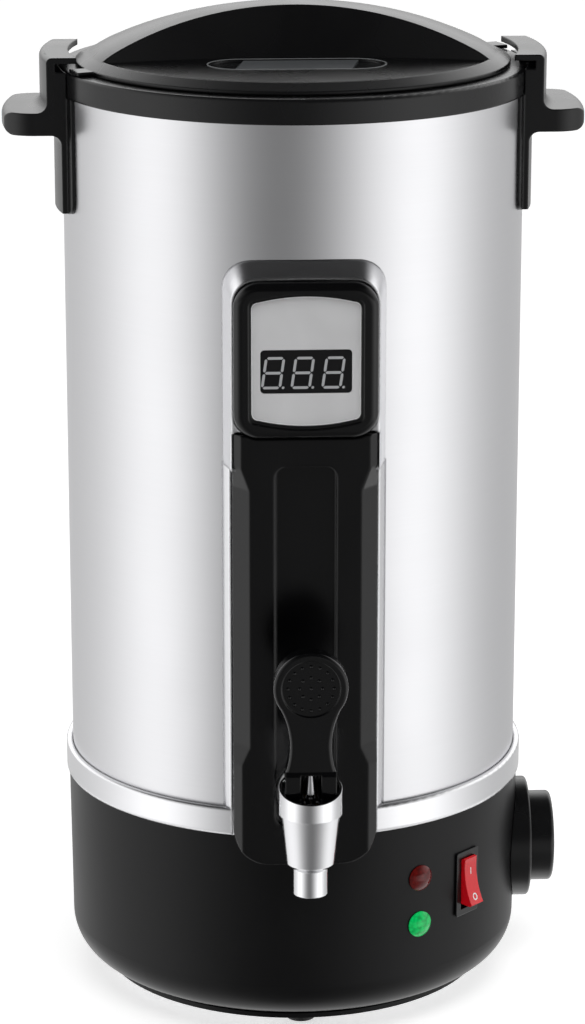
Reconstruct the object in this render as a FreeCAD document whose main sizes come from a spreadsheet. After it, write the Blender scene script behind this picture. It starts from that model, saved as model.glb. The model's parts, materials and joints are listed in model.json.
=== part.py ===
"""Candle wax melter: an electric drum with a steel tank, a front column with a lever tap, and a locking lid.

Millimetres, +Z up, the front of the melter towards -Y. The origin is the centre of the four feet on the
floor, on the axis of the drum. Pieces that sit on the round wall are drawn at the front and turned to their
azimuth.
"""
import FreeCAD, Part
import math
import os

import Sketcher

SIZES = {
    # feet and base
    "foot_height": (6.0, "floor to the lowest edge of the base"),
    "foot_radius": (6.5, "rubber foot at the floor"),
    "foot_flare": (1.0, "extra radius of the foot at its top"),
    "foot_inset": (31.8, "feet inside the base's outer radius"),
    "foot_neck_radius": (2.4, "neck of the foot in the bottom cover"),
    "foot_barb": (0.8, "how far the foot's barb overhangs its hole"),
    "base_height": (94.8, "height of the base housing"),
    "base_proud": (1.8, "base outside the drum sheet at its top"),
    "base_taper": (0.8, "how much smaller the base is above its rounding"),
    "base_wall": (3.0, "wall of the base housing"),
    "base_rounding": (18.5, "radius of the rounding at the bottom of the base"),
    "base_ring_inset": (15.8, "ring under the base inside the base's outer radius"),
    "base_ring_height": (2.2, "height of that ring"),
    "base_ring_wall": (3.2, "wall of that ring"),
    "base_groove": (1.2, "depth and height of the groove above the ring"),
    "base_ledge": (8.8, "width of the ledge that carries the bottom cover"),
    "base_ledge_thickness": (3.4, "thickness of that ledge"),
    "base_ledge_drop": (0.4, "underside of that ledge below the top of the groove"),
    "cover_thickness": (1.0, "sheet of the bottom cover"),
    "vent_length": (26.0, "vent slot in the bottom cover"),
    "vent_width": (4.0, "width of a vent slot"),
    "vent_circle_radius": (34.0, "vent slots from the axis"),
    "vent_count": (8.0, "vent slots"),
    # drum, band and tank
    "drum_jacket": (11.0, "outside of the drum sheet from the tank's inside"),
    "drum_height": (328.8, "height of the drum sheet"),
    "drum_wall": (0.8, "drum sheet"),
    "band_proud": (3.0, "band at the foot of the drum outside the drum sheet"),
    "band_height": (12.2, "height of that band"),
    "band_gap": (0.3, "gap between the drum and the band"),
    "band_rounding": (1.0, "rounding of the band's upper edge"),
    "tank_radius": (93.0, "inside radius of the wax tank"),
    "tank_wall": (0.8, "tank sheet"),
    "tank_floor_rise": (10.0, "inside of the tank's floor above the foot of the drum sheet"),
    "tank_rounding": (3.0, "inside rounding at the bottom of the tank"),
    "insulation_thickness": (5.0, "glass wool round the tank"),
    "insulation_margin": (14.0, "bare wall above and below the glass wool"),
    "wool_gap": (1.0, "glass wool round the pipe and the probe"),
    # rim ring
    "rim_overhang": (1.3, "rim ring outside the drum sheet"),
    "rim_height": (11.0, "height of the rim ring"),
    "rim_web": (1.6, "thickness of the rim ring's top"),
    "rim_setback": (1.6, "rim ring's top from the tank's inside"),
    "rim_rounding": (1.2, "rounding of the rim ring's outer edge"),
    # lid
    "lid_overlap": (4.7, "lid's edge outside the tank's inside"),
    "lid_gap": (0.4, "lid edge above the rim ring"),
    "lid_edge_thickness": (1.6, "thickness of the lid at its edge"),
    "lid_band": (6.2, "width of the lid's edge band, up to a crease"),
    "lid_crease_height": (4.8, "crease above the rim ring"),
    "lid_turn_down": (7.5, "where the dome turns down, inside the crease"),
    "lid_shoulder_rounding": (50.0, "radius of that turn"),
    "lid_height": (27.0, "top of the dome above the rim ring"),
    "lid_dome_fall": (18.0, "how far the dome falls from its middle to that turn"),
    "lid_wall": (2.6, "wall of the lid moulding"),
    "lid_floor_drop": (0.5, "recess floor below the crease"),
    "bar_half_width": (16.5, "half the grip bar's width at its foot, mid-way"),
    "recess_radius": (238.0, "radius of the grip bar's hollow sides at the foot"),
    "recess_draft": (17.0, "draft angle of the grip bar's sides"),
    "inset_length": (78.0, "long slot in the front recess"),
    "inset_width": (29.0, "width of that slot"),
    "inset_offset": (36.5, "slot from the drum axis"),
    "inset_depth": (1.2, "depth of that slot"),
    "inset_plate_length": (56.0, "plate in that slot"),
    "inset_plate_slant": (5.0, "how far the plate's ends slant"),
    "inset_plate_margin": (0.9, "plate's edge from the slot's edge"),
    "inset_plate_thickness": (0.8, "thickness of that plate"),
    "lug_length": (7.1, "lid's two locking lugs outside its edge"),
    "lug_thickness": (1.6, "thickness of a locking lug"),
    "lug_root": (2.0, "lug's root inside the lid's edge"),
    "lug_half_angle": (3.2, "half the angle that a lug spans"),
    "lock_angle": (20.5, "turn of the lid from free to locked"),
    "lid_boss_radius": (4.5, "screw boss inside the lid"),
    "lid_boss_offset": (55.0, "screw bosses from the axis"),
    "lid_screw_radius": (1.9, "lid screw"),
    "lid_screw_head_radius": (3.6, "head of the lid screw"),
    "lid_screw_grip": (12.0, "length of the lid screw"),
    "liner_gap": (3.0, "lid's steel liner inside the tank's wall"),
    "liner_sheet": (0.8, "sheet of the liner"),
    "liner_depth": (8.0, "liner below the rim ring's top"),
    "seal_overlap": (1.2, "lid seal's lip outside the tank's inside"),
    "seal_leg": (2.1, "thickness of the seal's leg"),
    "seal_lip_thickness": (1.2, "thickness of the seal's lip"),
    "seal_depth": (6.6, "seal below the rim ring's top"),
    "seal_gap": (0.3, "gap round the seal's leg and under its lip"),
    # side handles
    "handle_half_width": (28.7, "half the width of a side handle"),
    "jaw_inset": (3.0, "inner arc of the hook over the rim inside the drum's outer face"),
    "jaw_thickness": (2.6, "thickness of the hook"),
    "jaw_gap": (3.9, "slot between the hook and the rim ring"),
    "slot_depth": (6.0, "end of that slot outside the drum"),
    "handle_proud": (9.8, "outer face of the handle outside the drum"),
    "handle_rounding": (2.5, "rounding of the handle's upper outer edge"),
    "grip_length": (17.2, "end of the grip outside the handle's face"),
    "grip_corner": (15.0, "rounding of the grip's corners seen from above"),
    "grip_thickness": (10.0, "thickness of the grip"),
    "grip_drop": (18.0, "grip's top below the rim ring's top"),
    "grip_rounding": (3.4, "rounding of the grip's end"),
    "grip_fillet": (4.5, "fillet where the grip meets the handle"),
    "leg_height": (52.0, "leg of the handle below the rim ring's skirt"),
    "leg_proud": (3.8, "outer face of the leg outside the drum"),
    "leg_half_width": (35.0, "half the width of the flare beside the leg"),
    "flare_proud": (1.5, "outer face of the flare outside the drum"),
    "leg_rounding": (6.0, "rounding of the flare's lower corners"),
    "handle_screw_drop": (36.0, "handle screws below the rim ring's skirt"),
    "handle_screw_spread": (18.0, "handle screws from the middle of the handle"),
    "handle_skin": (0.8, "handle in front of its screws"),
    "stop_gap": (0.5, "lid's lug from the handle's stop when locked"),
    "stop_width": (3.0, "width of that stop"),
    "screw_radius": (2.0, "shank of the housing screws"),
    "screw_head_radius": (3.8, "head of the housing screws"),
    "screw_head_height": (2.2, "height of that head"),
    # column on the front
    "column_half_width": (31.8, "half the width of the column"),
    "shoulder_half_width": (31.7, "half the width of the column's shoulder"),
    "column_notch": (1.3, "notch between the shoulder and the column"),
    "notch_slope": (0.8, "height of the slope below that notch"),
    "shoulder_slope": (0.3, "how far the shoulder narrows to its top"),
    "shoulder_bow": (31.35, "radius of the shoulder's bowed sides"),
    "column_drop": (9.2, "lower end of the column below the base's top"),
    "column_height": (197.0, "height of the column"),
    "column_shoulder": (16.5, "height of the column's shoulder"),
    "column_proud": (12.0, "front face of the column outside the drum"),
    "column_side_proud": (3.5, "front edge of the column's sides outside the drum"),
    "column_chamfer": (7.2, "width of the column's slanted sides"),
    "column_narrow_chamfer": (3.6, "width of the same near both ends"),
    "column_chamfer_start": (47.0, "where the wide slanted sides begin above the column's end"),
    "column_chamfer_run": (8.0, "length over which the slanted side widens"),
    "column_rounding": (16.0, "rounding of the column's lower corners"),
    "column_recess_half_width": (13.3, "half the width of the column's recess"),
    "column_recess_depth": (4.0, "depth of that recess"),
    "column_recess_bottom": (18.0, "recess above the column's lower end"),
    "column_recess_top": (14.0, "recess below the column's upper end"),
    "column_recess_rounding": (5.0, "rounding of the recess's corners"),
    "column_wall": (2.5, "wall of the column moulding"),
    "column_cavity_overlap": (4.0, "column's hollow below the wide slanted sides"),
    "column_screw_rise": (4.0, "lower screws of the column above the band"),
    "column_screw_drop": (8.5, "upper screw of the column below its upper end"),
    "seat_gap": (0.1, "gap between pieces that seat on a round wall"),
    "overcut": (5.0, "how far a cutting tool reaches past what it cuts"),
    # steel surround
    "surround_half_width": (35.5, "half the width of the surround at the drum"),
    "surround_front_half_width": (32.0, "half the width of the surround at its front"),
    "surround_rise": (12.3, "top of the surround at the drum above the display bezel"),
    "surround_front_drop": (11.2, "front edge of the surround below its top"),
    "surround_proud": (8.5, "front edge of the surround outside the drum"),
    "surround_rounding": (15.0, "rounding of the surround's upper corners"),
    "surround_bow": (90.0, "radius of the surround's bowed top edge at the drum"),
    "surround_front_bow": (450.0, "radius of that edge at the front"),
    "surround_front_rounding": (10.5, "rounding of the surround's front corners"),
    "surround_lower": (15.2, "surround below the display bezel's lower edge"),
    "strip_width": (0.6, "front edge of the steel strip beside the column"),
    "strip_proud": (4.8, "how far that strip stands proud of the drum"),
    "strip_slope": (3.5, "how far that strip widens from its front edge to the drum"),
    # display
    "bezel_half_width": (31.2, "half the width of the display bezel"),
    "bezel_height": (68.3, "height of the display bezel"),
    "bezel_overlap": (1.4, "lower edge of the display bezel below the column's upper end"),
    "bezel_proud": (14.6, "front of the display bezel outside the drum"),
    "bezel_rounding": (11.0, "rounding of the bezel's corners"),
    "bezel_edge": (3.6, "fillet round the bezel's front"),
    "bezel_lip": (1.2, "inner lip round the faceplate"),
    "plate_half_width": (23.5, "half the width of the faceplate"),
    "plate_side_height": (51.8, "height of the faceplate at its sides"),
    "plate_arch": (3.2, "how far its top and bottom edges bulge"),
    "plate_rounding": (3.0, "rounding of the faceplate's corners"),
    "plate_thickness": (1.0, "sheet of the faceplate"),
    "plate_recess": (2.4, "faceplate behind the bezel's front"),
    "bezel_web": (1.6, "web of the bezel behind the faceplate"),
    "window_half_width": (19.5, "half the width of the display window"),
    "window_height": (18.8, "height of the display window"),
    "window_rounding": (1.6, "rounding of the window's corners"),
    "window_drop": (4.5, "window's middle below the faceplate's middle"),
    "window_thickness": (1.2, "clear window sheet"),
    "module_depth": (5.0, "depth of the digit module"),
    "board_thickness": (1.6, "circuit boards"),
    "display_board_half_width": (25.0, "half the width of the display's board"),
    "display_board_height": (40.0, "height of the display's board"),
    "fit": (0.15, "gap round a piece that sits in a pocket"),
    # tap
    "tap_throw": (51.0, "tap's axis outside the drum"),
    "shank_rise": (23.8, "tap's pipe above the base"),
    "cup_radius": (13.7, "outside radius of the tap's cup"),
    "cup_rise": (14.4, "lowest point of the cup's rim, at its front, above the pipe"),
    "cup_height": (8.3, "height of the cup's straight collar at its front"),
    "cup_slope": (13.5, "slope of the cup's rim, up towards the back"),
    "cup_wall": (1.1, "wall of the cup"),
    "cone_upper_radius": (12.8, "tap's body below the cup"),
    "cone_lower_radius": (10.5, "tap's body at its lower end"),
    "cone_edge": (0.6, "bevel at the lower edge of the tap's cone"),
    "cone_height": (22.2, "height of the tap's tapered body"),
    "spout_radius": (7.6, "outside radius of the spout"),
    "spout_bore": (5.8, "inside radius of the spout"),
    "spout_length": (11.7, "straight length of the spout"),
    "spout_shoulder": (2.6, "height of the slope down to the spout"),
    "chamber_radius": (8.2, "inside radius of the valve chamber"),
    "socket_wall": (6.0, "tap's metal between the valve chamber and the pipe's end"),
    "seat_drop": (11.6, "valve seat below the tap's pipe"),
    "seat_bore": (4.6, "hole in the valve seat"),
    "arm_radius": (7.8, "arm from the tap to the column"),
    "shank_radius": (6.0, "pipe through the walls"),
    "shank_bore": (4.0, "bore of that pipe"),
    "shank_inside": (10.0, "pipe's end inside the tank wall"),
    "shank_hole_gap": (0.6, "gap round the pipe in the walls"),
    "nut_half_flats": (9.5, "half the width across the nut's flats"),
    "nut_thickness": (5.0, "nut on the pipe inside the tank"),
    "washer_radius": (10.0, "seal washers on the pipe"),
    "washer_thickness": (2.0, "thickness of a seal washer"),
    "escutcheon_radius": (13.0, "round plate behind the tap"),
    "escutcheon_thickness": (2.6, "thickness of that plate"),
    "escutcheon_edge": (0.8, "thickness of that plate at its edge"),
    "bonnet_drop": (7.8, "top of the tap's bonnet below the cup's rim"),
    "bonnet_thickness": (2.6, "thickness of the bonnet"),
    "bonnet_setback": (2.0, "bonnet's edge inside the tap's outer radius"),
    "stem_radius": (1.65, "steel stem above its eye"),
    "stem_guide_radius": (2.2, "steel stem in the bonnet"),
    "stem_eye_radius": (2.5, "barrel of the stem round the lever's pin"),
    "stem_collar_radius": (6.0, "collar of the stem under its spring"),
    "stem_collar_height": (1.6, "height of that collar"),
    "stem_neck_height": (2.0, "stem between its eye and its conical end"),
    "finial_radius": (3.0, "foot of the stem's conical end"),
    "finial_top_radius": (1.6, "top of the stem's conical end"),
    "finial_height": (8.6, "height of that cone"),
    "running_gap": (0.05, "gap of a shaft in its hole"),
    "cup_seal_radius": (6.8, "rubber cup on the stem's end"),
    "cup_seal_height": (4.5, "height of the rubber cup"),
    "cup_seal_socket": (3.0, "stem's end inside the rubber cup"),
    "seat_clearance": (0.3, "closed rubber cup above its seat"),
    "spring_radius": (4.2, "mean radius of the stem's spring"),
    "spring_wire": (0.35, "half the thickness of the spring's sleeve"),
    "tap_lift": (5.0, "lift of the stem at the lever's limit"),
    "lever_angle": (45.0, "pull of the lever"),
    "pivot_rise": (4.3, "lever's pin above the bonnet"),
    "pin_radius": (1.2, "lever's pin"),
    "pin_setback": (0.2, "lever's pin inside the outer faces of the cheeks"),
    "cam_gap": (0.3, "lever's cams above the bonnet at rest"),
    "cam_inner": (3.1, "inner face of a cam from the tap's axis"),
    "cam_outer": (5.0, "outer face of a cam from the tap's axis"),
    "cam_top": (3.0, "top of the cams above the pin"),
    "cam_bridge_front": (3.0, "bridge between the cams and the web in front of the pin"),
    "cam_bridge_drop": (2.2, "underside of that bridge below the pin"),
    "cam_bridge_root": (0.5, "bridge's root in the web"),
    "lobe_radius": (3.6, "lower end of the lever's cheeks round the pin"),
    "lobe_outer": (10.7, "outer face of the cheeks in the cup"),
    "cheek_thickness": (3.2, "thickness of the lever's cheeks"),
    "fork_half_width": (11.0, "half the width of the lever's fork"),
    "fork_half_depth": (5.2, "half the depth of the lever's fork"),
    "fork_rise": (5.6, "fork above the pin"),
    "fork_height": (8.72, "height of the fork's block"),
    "fork_web": (2.4, "web between the cheeks at the back of the fork"),
    "fork_front_web": (1.8, "front wall of the fork"),
    "fork_front_half_width": (9.9, "half the width of that wall below the fork's block"),
    "fork_notch": (4.4, "half the width of the notch in front of the stem's end"),
    "fork_notch_gap": (0.8, "notch above the stem's end"),
    "fork_slot_gap": (0.3, "gap beside the stem's end in the slot at the back of the fork"),
    "fork_roof": (3.5, "solid top of the fork above its hollow"),
    "neck_half_width": (9.0, "half the width of the lever's neck"),
    "neck_end_drop": (9.6, "where the neck meets the paddle below the paddle's middle"),
    "lever_half_depth": (4.2, "half the thickness of the lever's arm"),
    "paddle_radius": (16.0, "lever's round paddle"),
    "paddle_rise": (52.7, "middle of the paddle above the lever's pin"),
    "paddle_dish_radius": (12.6, "dish in the paddle"),
    "paddle_dish_depth": (1.0, "depth of that dish"),
    "lever_edge": (1.4, "fillet round the lever's front"),
    # controls on the base
    "lamp_azimuth": (30.3, "pilot lamps from the front, towards +X"),
    "lamp_upper_level": (74.2, "upper lamp above the floor"),
    "lamp_lower_level": (51.7, "lower lamp above the floor"),
    "lamp_radius": (6.0, "pilot lamp's lens"),
    "lamp_proud": (3.0, "lens in front of the wall"),
    "lamp_dome": (2.4, "rise of the lens's round front"),
    "lamp_neck_radius": (4.8, "lens's neck in the wall"),
    "lamp_neck_inside": (3.0, "lens's neck inside the wall"),
    "holder_radius": (7.5, "lamp socket inside the wall"),
    "holder_depth": (16.0, "depth of the lamp socket"),
    "switch_azimuth": (46.0, "rocker switch from the front, towards +X"),
    "switch_level": (64.9, "middle of the switch above the floor"),
    "switch_half_width": (7.6, "half the width of the switch's bezel"),
    "switch_half_height": (15.4, "half the height of the switch's bezel"),
    "switch_flange": (0.7, "thickness of the switch's bezel"),
    "switch_corner": (0.8, "rounding of the bezel's corners"),
    "switch_body_margin": (1.0, "switch's body inside its bezel's outline"),
    "switch_depth": (22.0, "depth of the switch's body"),
    "rocker_half_width": (4.2, "half the width of the rocker"),
    "rocker_half_height": (11.4, "half the height of the rocker"),
    "rocker_margin": (0.4, "gap beside the rocker"),
    "rocker_end_gap": (1.1, "gap at the rocker's ends in its pocket"),
    "rocker_pocket": (11.5, "depth of the rocker's pocket"),
    "rocker_front": (4.2, "rocker's ends in front of the bezel when level"),
    "rocker_hollow": (38.0, "radius of the rocker's hollow face"),
    "rocker_pivot_depth": (3.4, "rocker's pin behind the bezel's face"),
    "rocker_back_radius": (5.6, "rounding of the rocker's back"),
    "rocker_pin_radius": (1.1, "rocker's pins"),
    "rocker_pin_length": (1.4, "rocker's pins beside the rocker"),
    "rocker_pin_gap": (0.1, "gap at the ends of the rocker's pins"),
    "rocker_crown": (0.5, "how far the rocker's face is shorter than its back edges"),
    "rocker_edge": (1.2, "height of the rocker's end edges"),
    "rocker_edge_setback": (1.5, "lower end of those edges in front of the pin"),
    "rocker_tilt": (11.0, "tilt of the rocker from level at rest"),
    "knob_azimuth": (90.0, "thermostat knob from the front, towards +X"),
    "knob_level": (58.6, "knob's axis above the floor"),
    "dial_radius": (28.4, "round plate behind the knob"),
    "dial_proud": (6.4, "face of that plate in front of the base's wall"),
    "dial_web": (2.6, "wall of that plate"),
    "dial_hub_radius": (9.0, "hub of that plate"),
    "dial_edge": (1.4, "rounding of that plate's edge"),
    "knob_gap": (0.5, "knob from the plate behind it"),
    "knob_radius": (21.4, "grip of the knob"),
    "knob_height": (11.0, "height of the knob"),
    "knob_dome": (1.1, "rise of the knob's face to its middle"),
    "knob_edge": (2.0, "rounding of the knob's edges"),
    "knob_cavity": (6.4, "depth of the hollow behind the knob"),
    "knob_wall": (2.6, "wall of the knob"),
    "knob_hub_radius": (6.5, "hub of the knob"),
    "pointer_width": (1.4, "groove that marks the knob's setting"),
    "pointer_length": (11.0, "length of that groove"),
    "pointer_depth": (0.8, "depth of that groove"),
    "shaft_radius": (3.0, "thermostat's shaft"),
    "shaft_length": (19.0, "thermostat's shaft in front of its body"),
    "bush_radius": (5.0, "thermostat's bush in the wall"),
    "thermostat_half_width": (18.0, "half the thermostat's width"),
    "thermostat_half_height": (17.0, "half the thermostat's height"),
    "thermostat_depth": (22.0, "depth of the thermostat"),
    "thermostat_gap": (0.3, "gap of the thermostat and its bush from the wall and the knob"),
    "shaft_root": (10.0, "thermostat's shaft inside its body"),
    # heater and electrics
    "spreader_inset": (23.0, "aluminium plate under the tank inside the tank's wall"),
    "spreader_thickness": (4.0, "thickness of that plate"),
    "element_inset": (16.0, "heating element's ring inside the plate's edge"),
    "element_rod": (3.8, "radius of the element's rod"),
    "element_angle": (330.0, "angle that the element spans"),
    "element_terminal": (12.0, "terminals below the element"),
    "cutout_radius": (8.5, "thermal cut-out"),
    "cutout_height": (8.0, "height of the thermal cut-out"),
    "cutout_flange": (3.0, "flange of the cut-out outside its body"),
    "cutout_flange_thickness": (2.5, "thickness of that flange"),
    "probe_rise": (17.2, "temperature probe above the tank's floor"),
    "probe_radius": (3.0, "probe's sheath"),
    "probe_length": (17.0, "probe inside the tank wall"),
    "probe_flange_radius": (6.0, "probe's flange and nut"),
    "probe_flange_thickness": (1.5, "thickness of the probe's flange"),
    "probe_nut_thickness": (3.5, "thickness of the probe's nut"),
    "probe_tip": (1.0, "bevel at the probe's tip"),
    "board_length": (84.0, "control board"),
    "board_width": (60.0, "width of the control board"),
    "board_level": (36.0, "control board above the floor"),
    "board_offset": (22.0, "control board behind the axis"),
    "standoff_radius": (3.0, "posts under the control board"),
    "standoff_inset": (6.0, "posts from the board's edges"),
    "relay_height": (16.0, "relay on the board"),
    "relay_length": (22.0, "length of the relay"),
    "relay_width": (16.0, "width of the relay"),
    "relay_inset": (10.0, "relay from the board's end"),
    "relay_setback": (12.0, "relay from the board's front edge"),
    "supply_height": (22.0, "power supply on the board"),
    "supply_length": (26.0, "length of the power supply"),
    "supply_width": (22.0, "width of the power supply"),
    "supply_inset": (14.0, "power supply from the board's other end"),
    "supply_setback": (10.0, "power supply from the board's front edge"),
    "terminal_height": (11.0, "terminal block on the board"),
    "terminal_length": (50.0, "length of the terminal block"),
    "terminal_width": (12.0, "width of the terminal block"),
    "terminal_inset": (12.0, "terminal block from the board's end"),
    "terminal_setback": (4.0, "terminal block from the board's rear edge"),
    "gland_level": (38.0, "cord gland above the floor"),
    "gland_bore": (3.5, "bore of the cord gland"),
    "gland_radius": (6.4, "gland in the wall"),
    "gland_flange_radius": (9.5, "gland's collar outside"),
    "gland_flange_thickness": (4.0, "thickness of that collar"),
    "gland_flange_edge": (0.8, "bevel of that collar"),
    "gland_lip": (1.6, "wall of the gland at its outer end"),
    "gland_taper": (5.0, "tapered length of the gland"),
    "gland_nut_margin": (1.2, "room for the corners of the gland's nut"),
    "gland_proud": (12.0, "gland outside the wall"),
    "gland_inside": (9.0, "gland inside the wall"),
    "gland_nut_thickness": (4.0, "nut of the gland"),
}

# Sizes that follow from those above, from the tank outwards and from the floor upwards.
FORMULAS = {
    "drum_radius": ("tank_radius + drum_jacket", "outside radius of the steel drum"),
    "band_radius": ("drum_radius + band_proud", "outside radius of the band at the foot of the drum"),
    "base_radius": ("drum_radius + base_proud", "outside radius of the base at its top"),
    "base_ring_radius": ("base_radius - base_ring_inset", "outside radius of the ring under the base"),
    "foot_circle_radius": ("base_radius - foot_inset", "feet from the drum axis"),
    "base_top": ("foot_height + base_height", "top of the base above the floor"),
    "rim_radius": ("drum_radius + rim_overhang", "outside radius of the rim ring"),
    "rim_inner_radius": ("tank_radius + rim_setback", "inside radius of the rim ring's top"),
    "lid_radius": ("tank_radius + lid_overlap", "edge of the lid"),
    "lid_crease_radius": ("lid_radius - lid_band", "crease between the lid's edge band and its top"),
    "lid_shoulder_radius": ("lid_crease_radius - lid_turn_down", "where the dome turns down to the crease"),
    "lid_dome_radius": (
        "(lid_shoulder_radius * lid_shoulder_radius / lid_dome_fall + lid_dome_fall) / 2",
        "radius of the dome"),
    "lug_reach": ("lid_radius + lug_length", "outside radius of the lid's two locking lugs"),
    "liner_radius": ("tank_radius - liner_gap", "outside radius of the lid's steel liner"),
    "seal_lip_radius": ("tank_radius + seal_overlap", "outside radius of the lid seal's lip"),
    "jaw_radius": ("drum_radius - jaw_inset", "inner arc of the hook over the rim"),
    "slot_reach": ("drum_radius + slot_depth", "end of that slot from the drum axis"),
    "handle_face": ("drum_radius + handle_proud", "outer face of the handle from the drum axis"),
    "grip_reach": ("handle_face + grip_length", "end of the grip from the drum axis"),
    "leg_face": ("drum_radius + leg_proud", "outer face of the leg from the drum axis"),
    "flare_face": ("drum_radius + flare_proud", "outer face of the flare from the drum axis"),
    "column_bottom": ("base_top - column_drop", "lower end of the column above the floor"),
    "column_front": ("drum_radius + column_proud", "front face of the column from the drum axis"),
    "column_side": (
        "drum_radius + column_side_proud",
        "front edge of the column's sides from the drum axis"),
    "bezel_bottom": ("column_bottom + column_height - bezel_overlap", "lower edge of the display bezel"),
    "bezel_front": ("drum_radius + bezel_proud", "front of the display bezel from the drum axis"),
    "surround_top": ("bezel_bottom + bezel_height + surround_rise", "top of the surround at the drum"),
    "surround_front": ("drum_radius + surround_proud", "front edge of the surround from the drum axis"),
    "tap_reach": ("drum_radius + tap_throw", "tap's axis from the drum axis"),
    "shank_level": ("base_top + shank_rise", "tap's pipe above the floor"),
    "cup_top": ("shank_level + cup_rise", "lowest point of the cup's rim, at its front"),
    "seat_level": ("shank_level - seat_drop", "valve seat above the floor"),
    "bonnet_level": ("cup_top - bonnet_drop", "top of the tap's bonnet above the floor"),
    "pivot_level": ("bonnet_level + pivot_rise", "lever's pin above the floor"),
    "paddle_level": ("pivot_level + paddle_rise", "middle of the paddle above the floor"),
    "spreader_radius": ("tank_radius - spreader_inset", "aluminium plate under the tank"),
    "element_radius": ("spreader_radius - element_inset", "heating element's ring"),
    "probe_level": ("base_top + tank_floor_rise + probe_rise", "temperature probe above the floor"),
    "lamp_dome_radius": ("(lamp_radius * lamp_radius / lamp_dome + lamp_dome) / 2",
                         "sphere of the pilot lens's front"),
}


class Size:
    """A size of the sheet, or a formula of such sizes, as its expression text and its value."""

    def __init__(self, text, value):
        self.text = text
        self.value = float(value)

    @staticmethod
    def of(number):
        return number if isinstance(number, Size) else Size(repr(float(number)), number)

    def __float__(self):
        return self.value

    def __add__(self, other):
        other = Size.of(other)
        return Size(f"({self.text} + {other.text})", self.value + other.value)

    def __radd__(self, other):
        return Size.of(other) + self

    def __sub__(self, other):
        other = Size.of(other)
        return Size(f"({self.text} - {other.text})", self.value - other.value)

    def __rsub__(self, other):
        return Size.of(other) - self

    def __mul__(self, other):
        other = Size.of(other)
        return Size(f"({self.text} * {other.text})", self.value * other.value)

    def __rmul__(self, other):
        return Size.of(other) * self

    def __truediv__(self, other):
        other = Size.of(other)
        return Size(f"({self.text} / {other.text})", self.value / other.value)

    def __neg__(self):
        return Size(f"(0 - {self.text})", -self.value)


def root(size):
    """Square root of a size."""
    return Size(f"sqrt({size.text})", math.sqrt(size.value))


def sine(angle):
    """Sine of an angle in degrees."""
    return Size(f"sin({angle.text})", math.sin(math.radians(angle.value)))


def cosine(angle):
    """Cosine of an angle in degrees."""
    return Size(f"cos({angle.text})", math.cos(math.radians(angle.value)))


def tangent(angle):
    """Tangent of an angle in degrees."""
    return Size(f"tan({angle.text})", math.tan(math.radians(angle.value)))


def chord_depth(radius, half_width):
    """Distance from an axis to a chord of a circle about it."""
    return root(radius * radius - half_width * half_width)


class Sheet:
    """The driving dimensions, one spreadsheet row each, read as attributes."""

    def __init__(self, doc):
        self.sheet = doc.addObject("Spreadsheet::Sheet", "Sizes")
        rows = {alias: (str(value), note) for alias, (value, note) in SIZES.items()}
        rows.update({alias: (f"={formula}", note) for alias, (formula, note) in FORMULAS.items()})
        for row, (alias, (value, note)) in enumerate(rows.items(), start=1):
            self.sheet.set(f"A{row}", alias)
            self.sheet.set(f"B{row}", value)
            self.sheet.setAlias(f"B{row}", alias)
            self.sheet.set(f"C{row}", note)
        doc.recompute()

    def __getattr__(self, alias):
        return Size(f"Sizes.{alias}", getattr(self.sheet, alias))


doc = FreeCAD.newDocument("wax_melter")
dim = Sheet(doc)
ORIGIN = Size.of(0)
NODES = {}


# --- helpers -----------------------------------------------------------------------------------------------

def bind(obj, **sizes):
    """Tie properties of an object to sizes; a double underscore stands for a dot in the path."""
    for path, size in sizes.items():
        obj.setExpression(path.replace("__", "."), Size.of(size).text)


def place(obj, x=None, y=None, z=None, azimuth=None):
    """Tie an object's place, and its turn about the drum axis, to sizes."""
    if azimuth is not None:
        turn = FreeCAD.Rotation(FreeCAD.Vector(0, 0, 1), float(azimuth))
        obj.Placement = FreeCAD.Placement(obj.Placement.Base, turn)
        bind(obj, Placement__Rotation__Angle=azimuth)
    for axis, size in (("x", x), ("y", y), ("z", z)):
        if size is not None:
            obj.setExpression(f"Placement.Base.{axis}", Size.of(size).text)
    return obj


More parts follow.
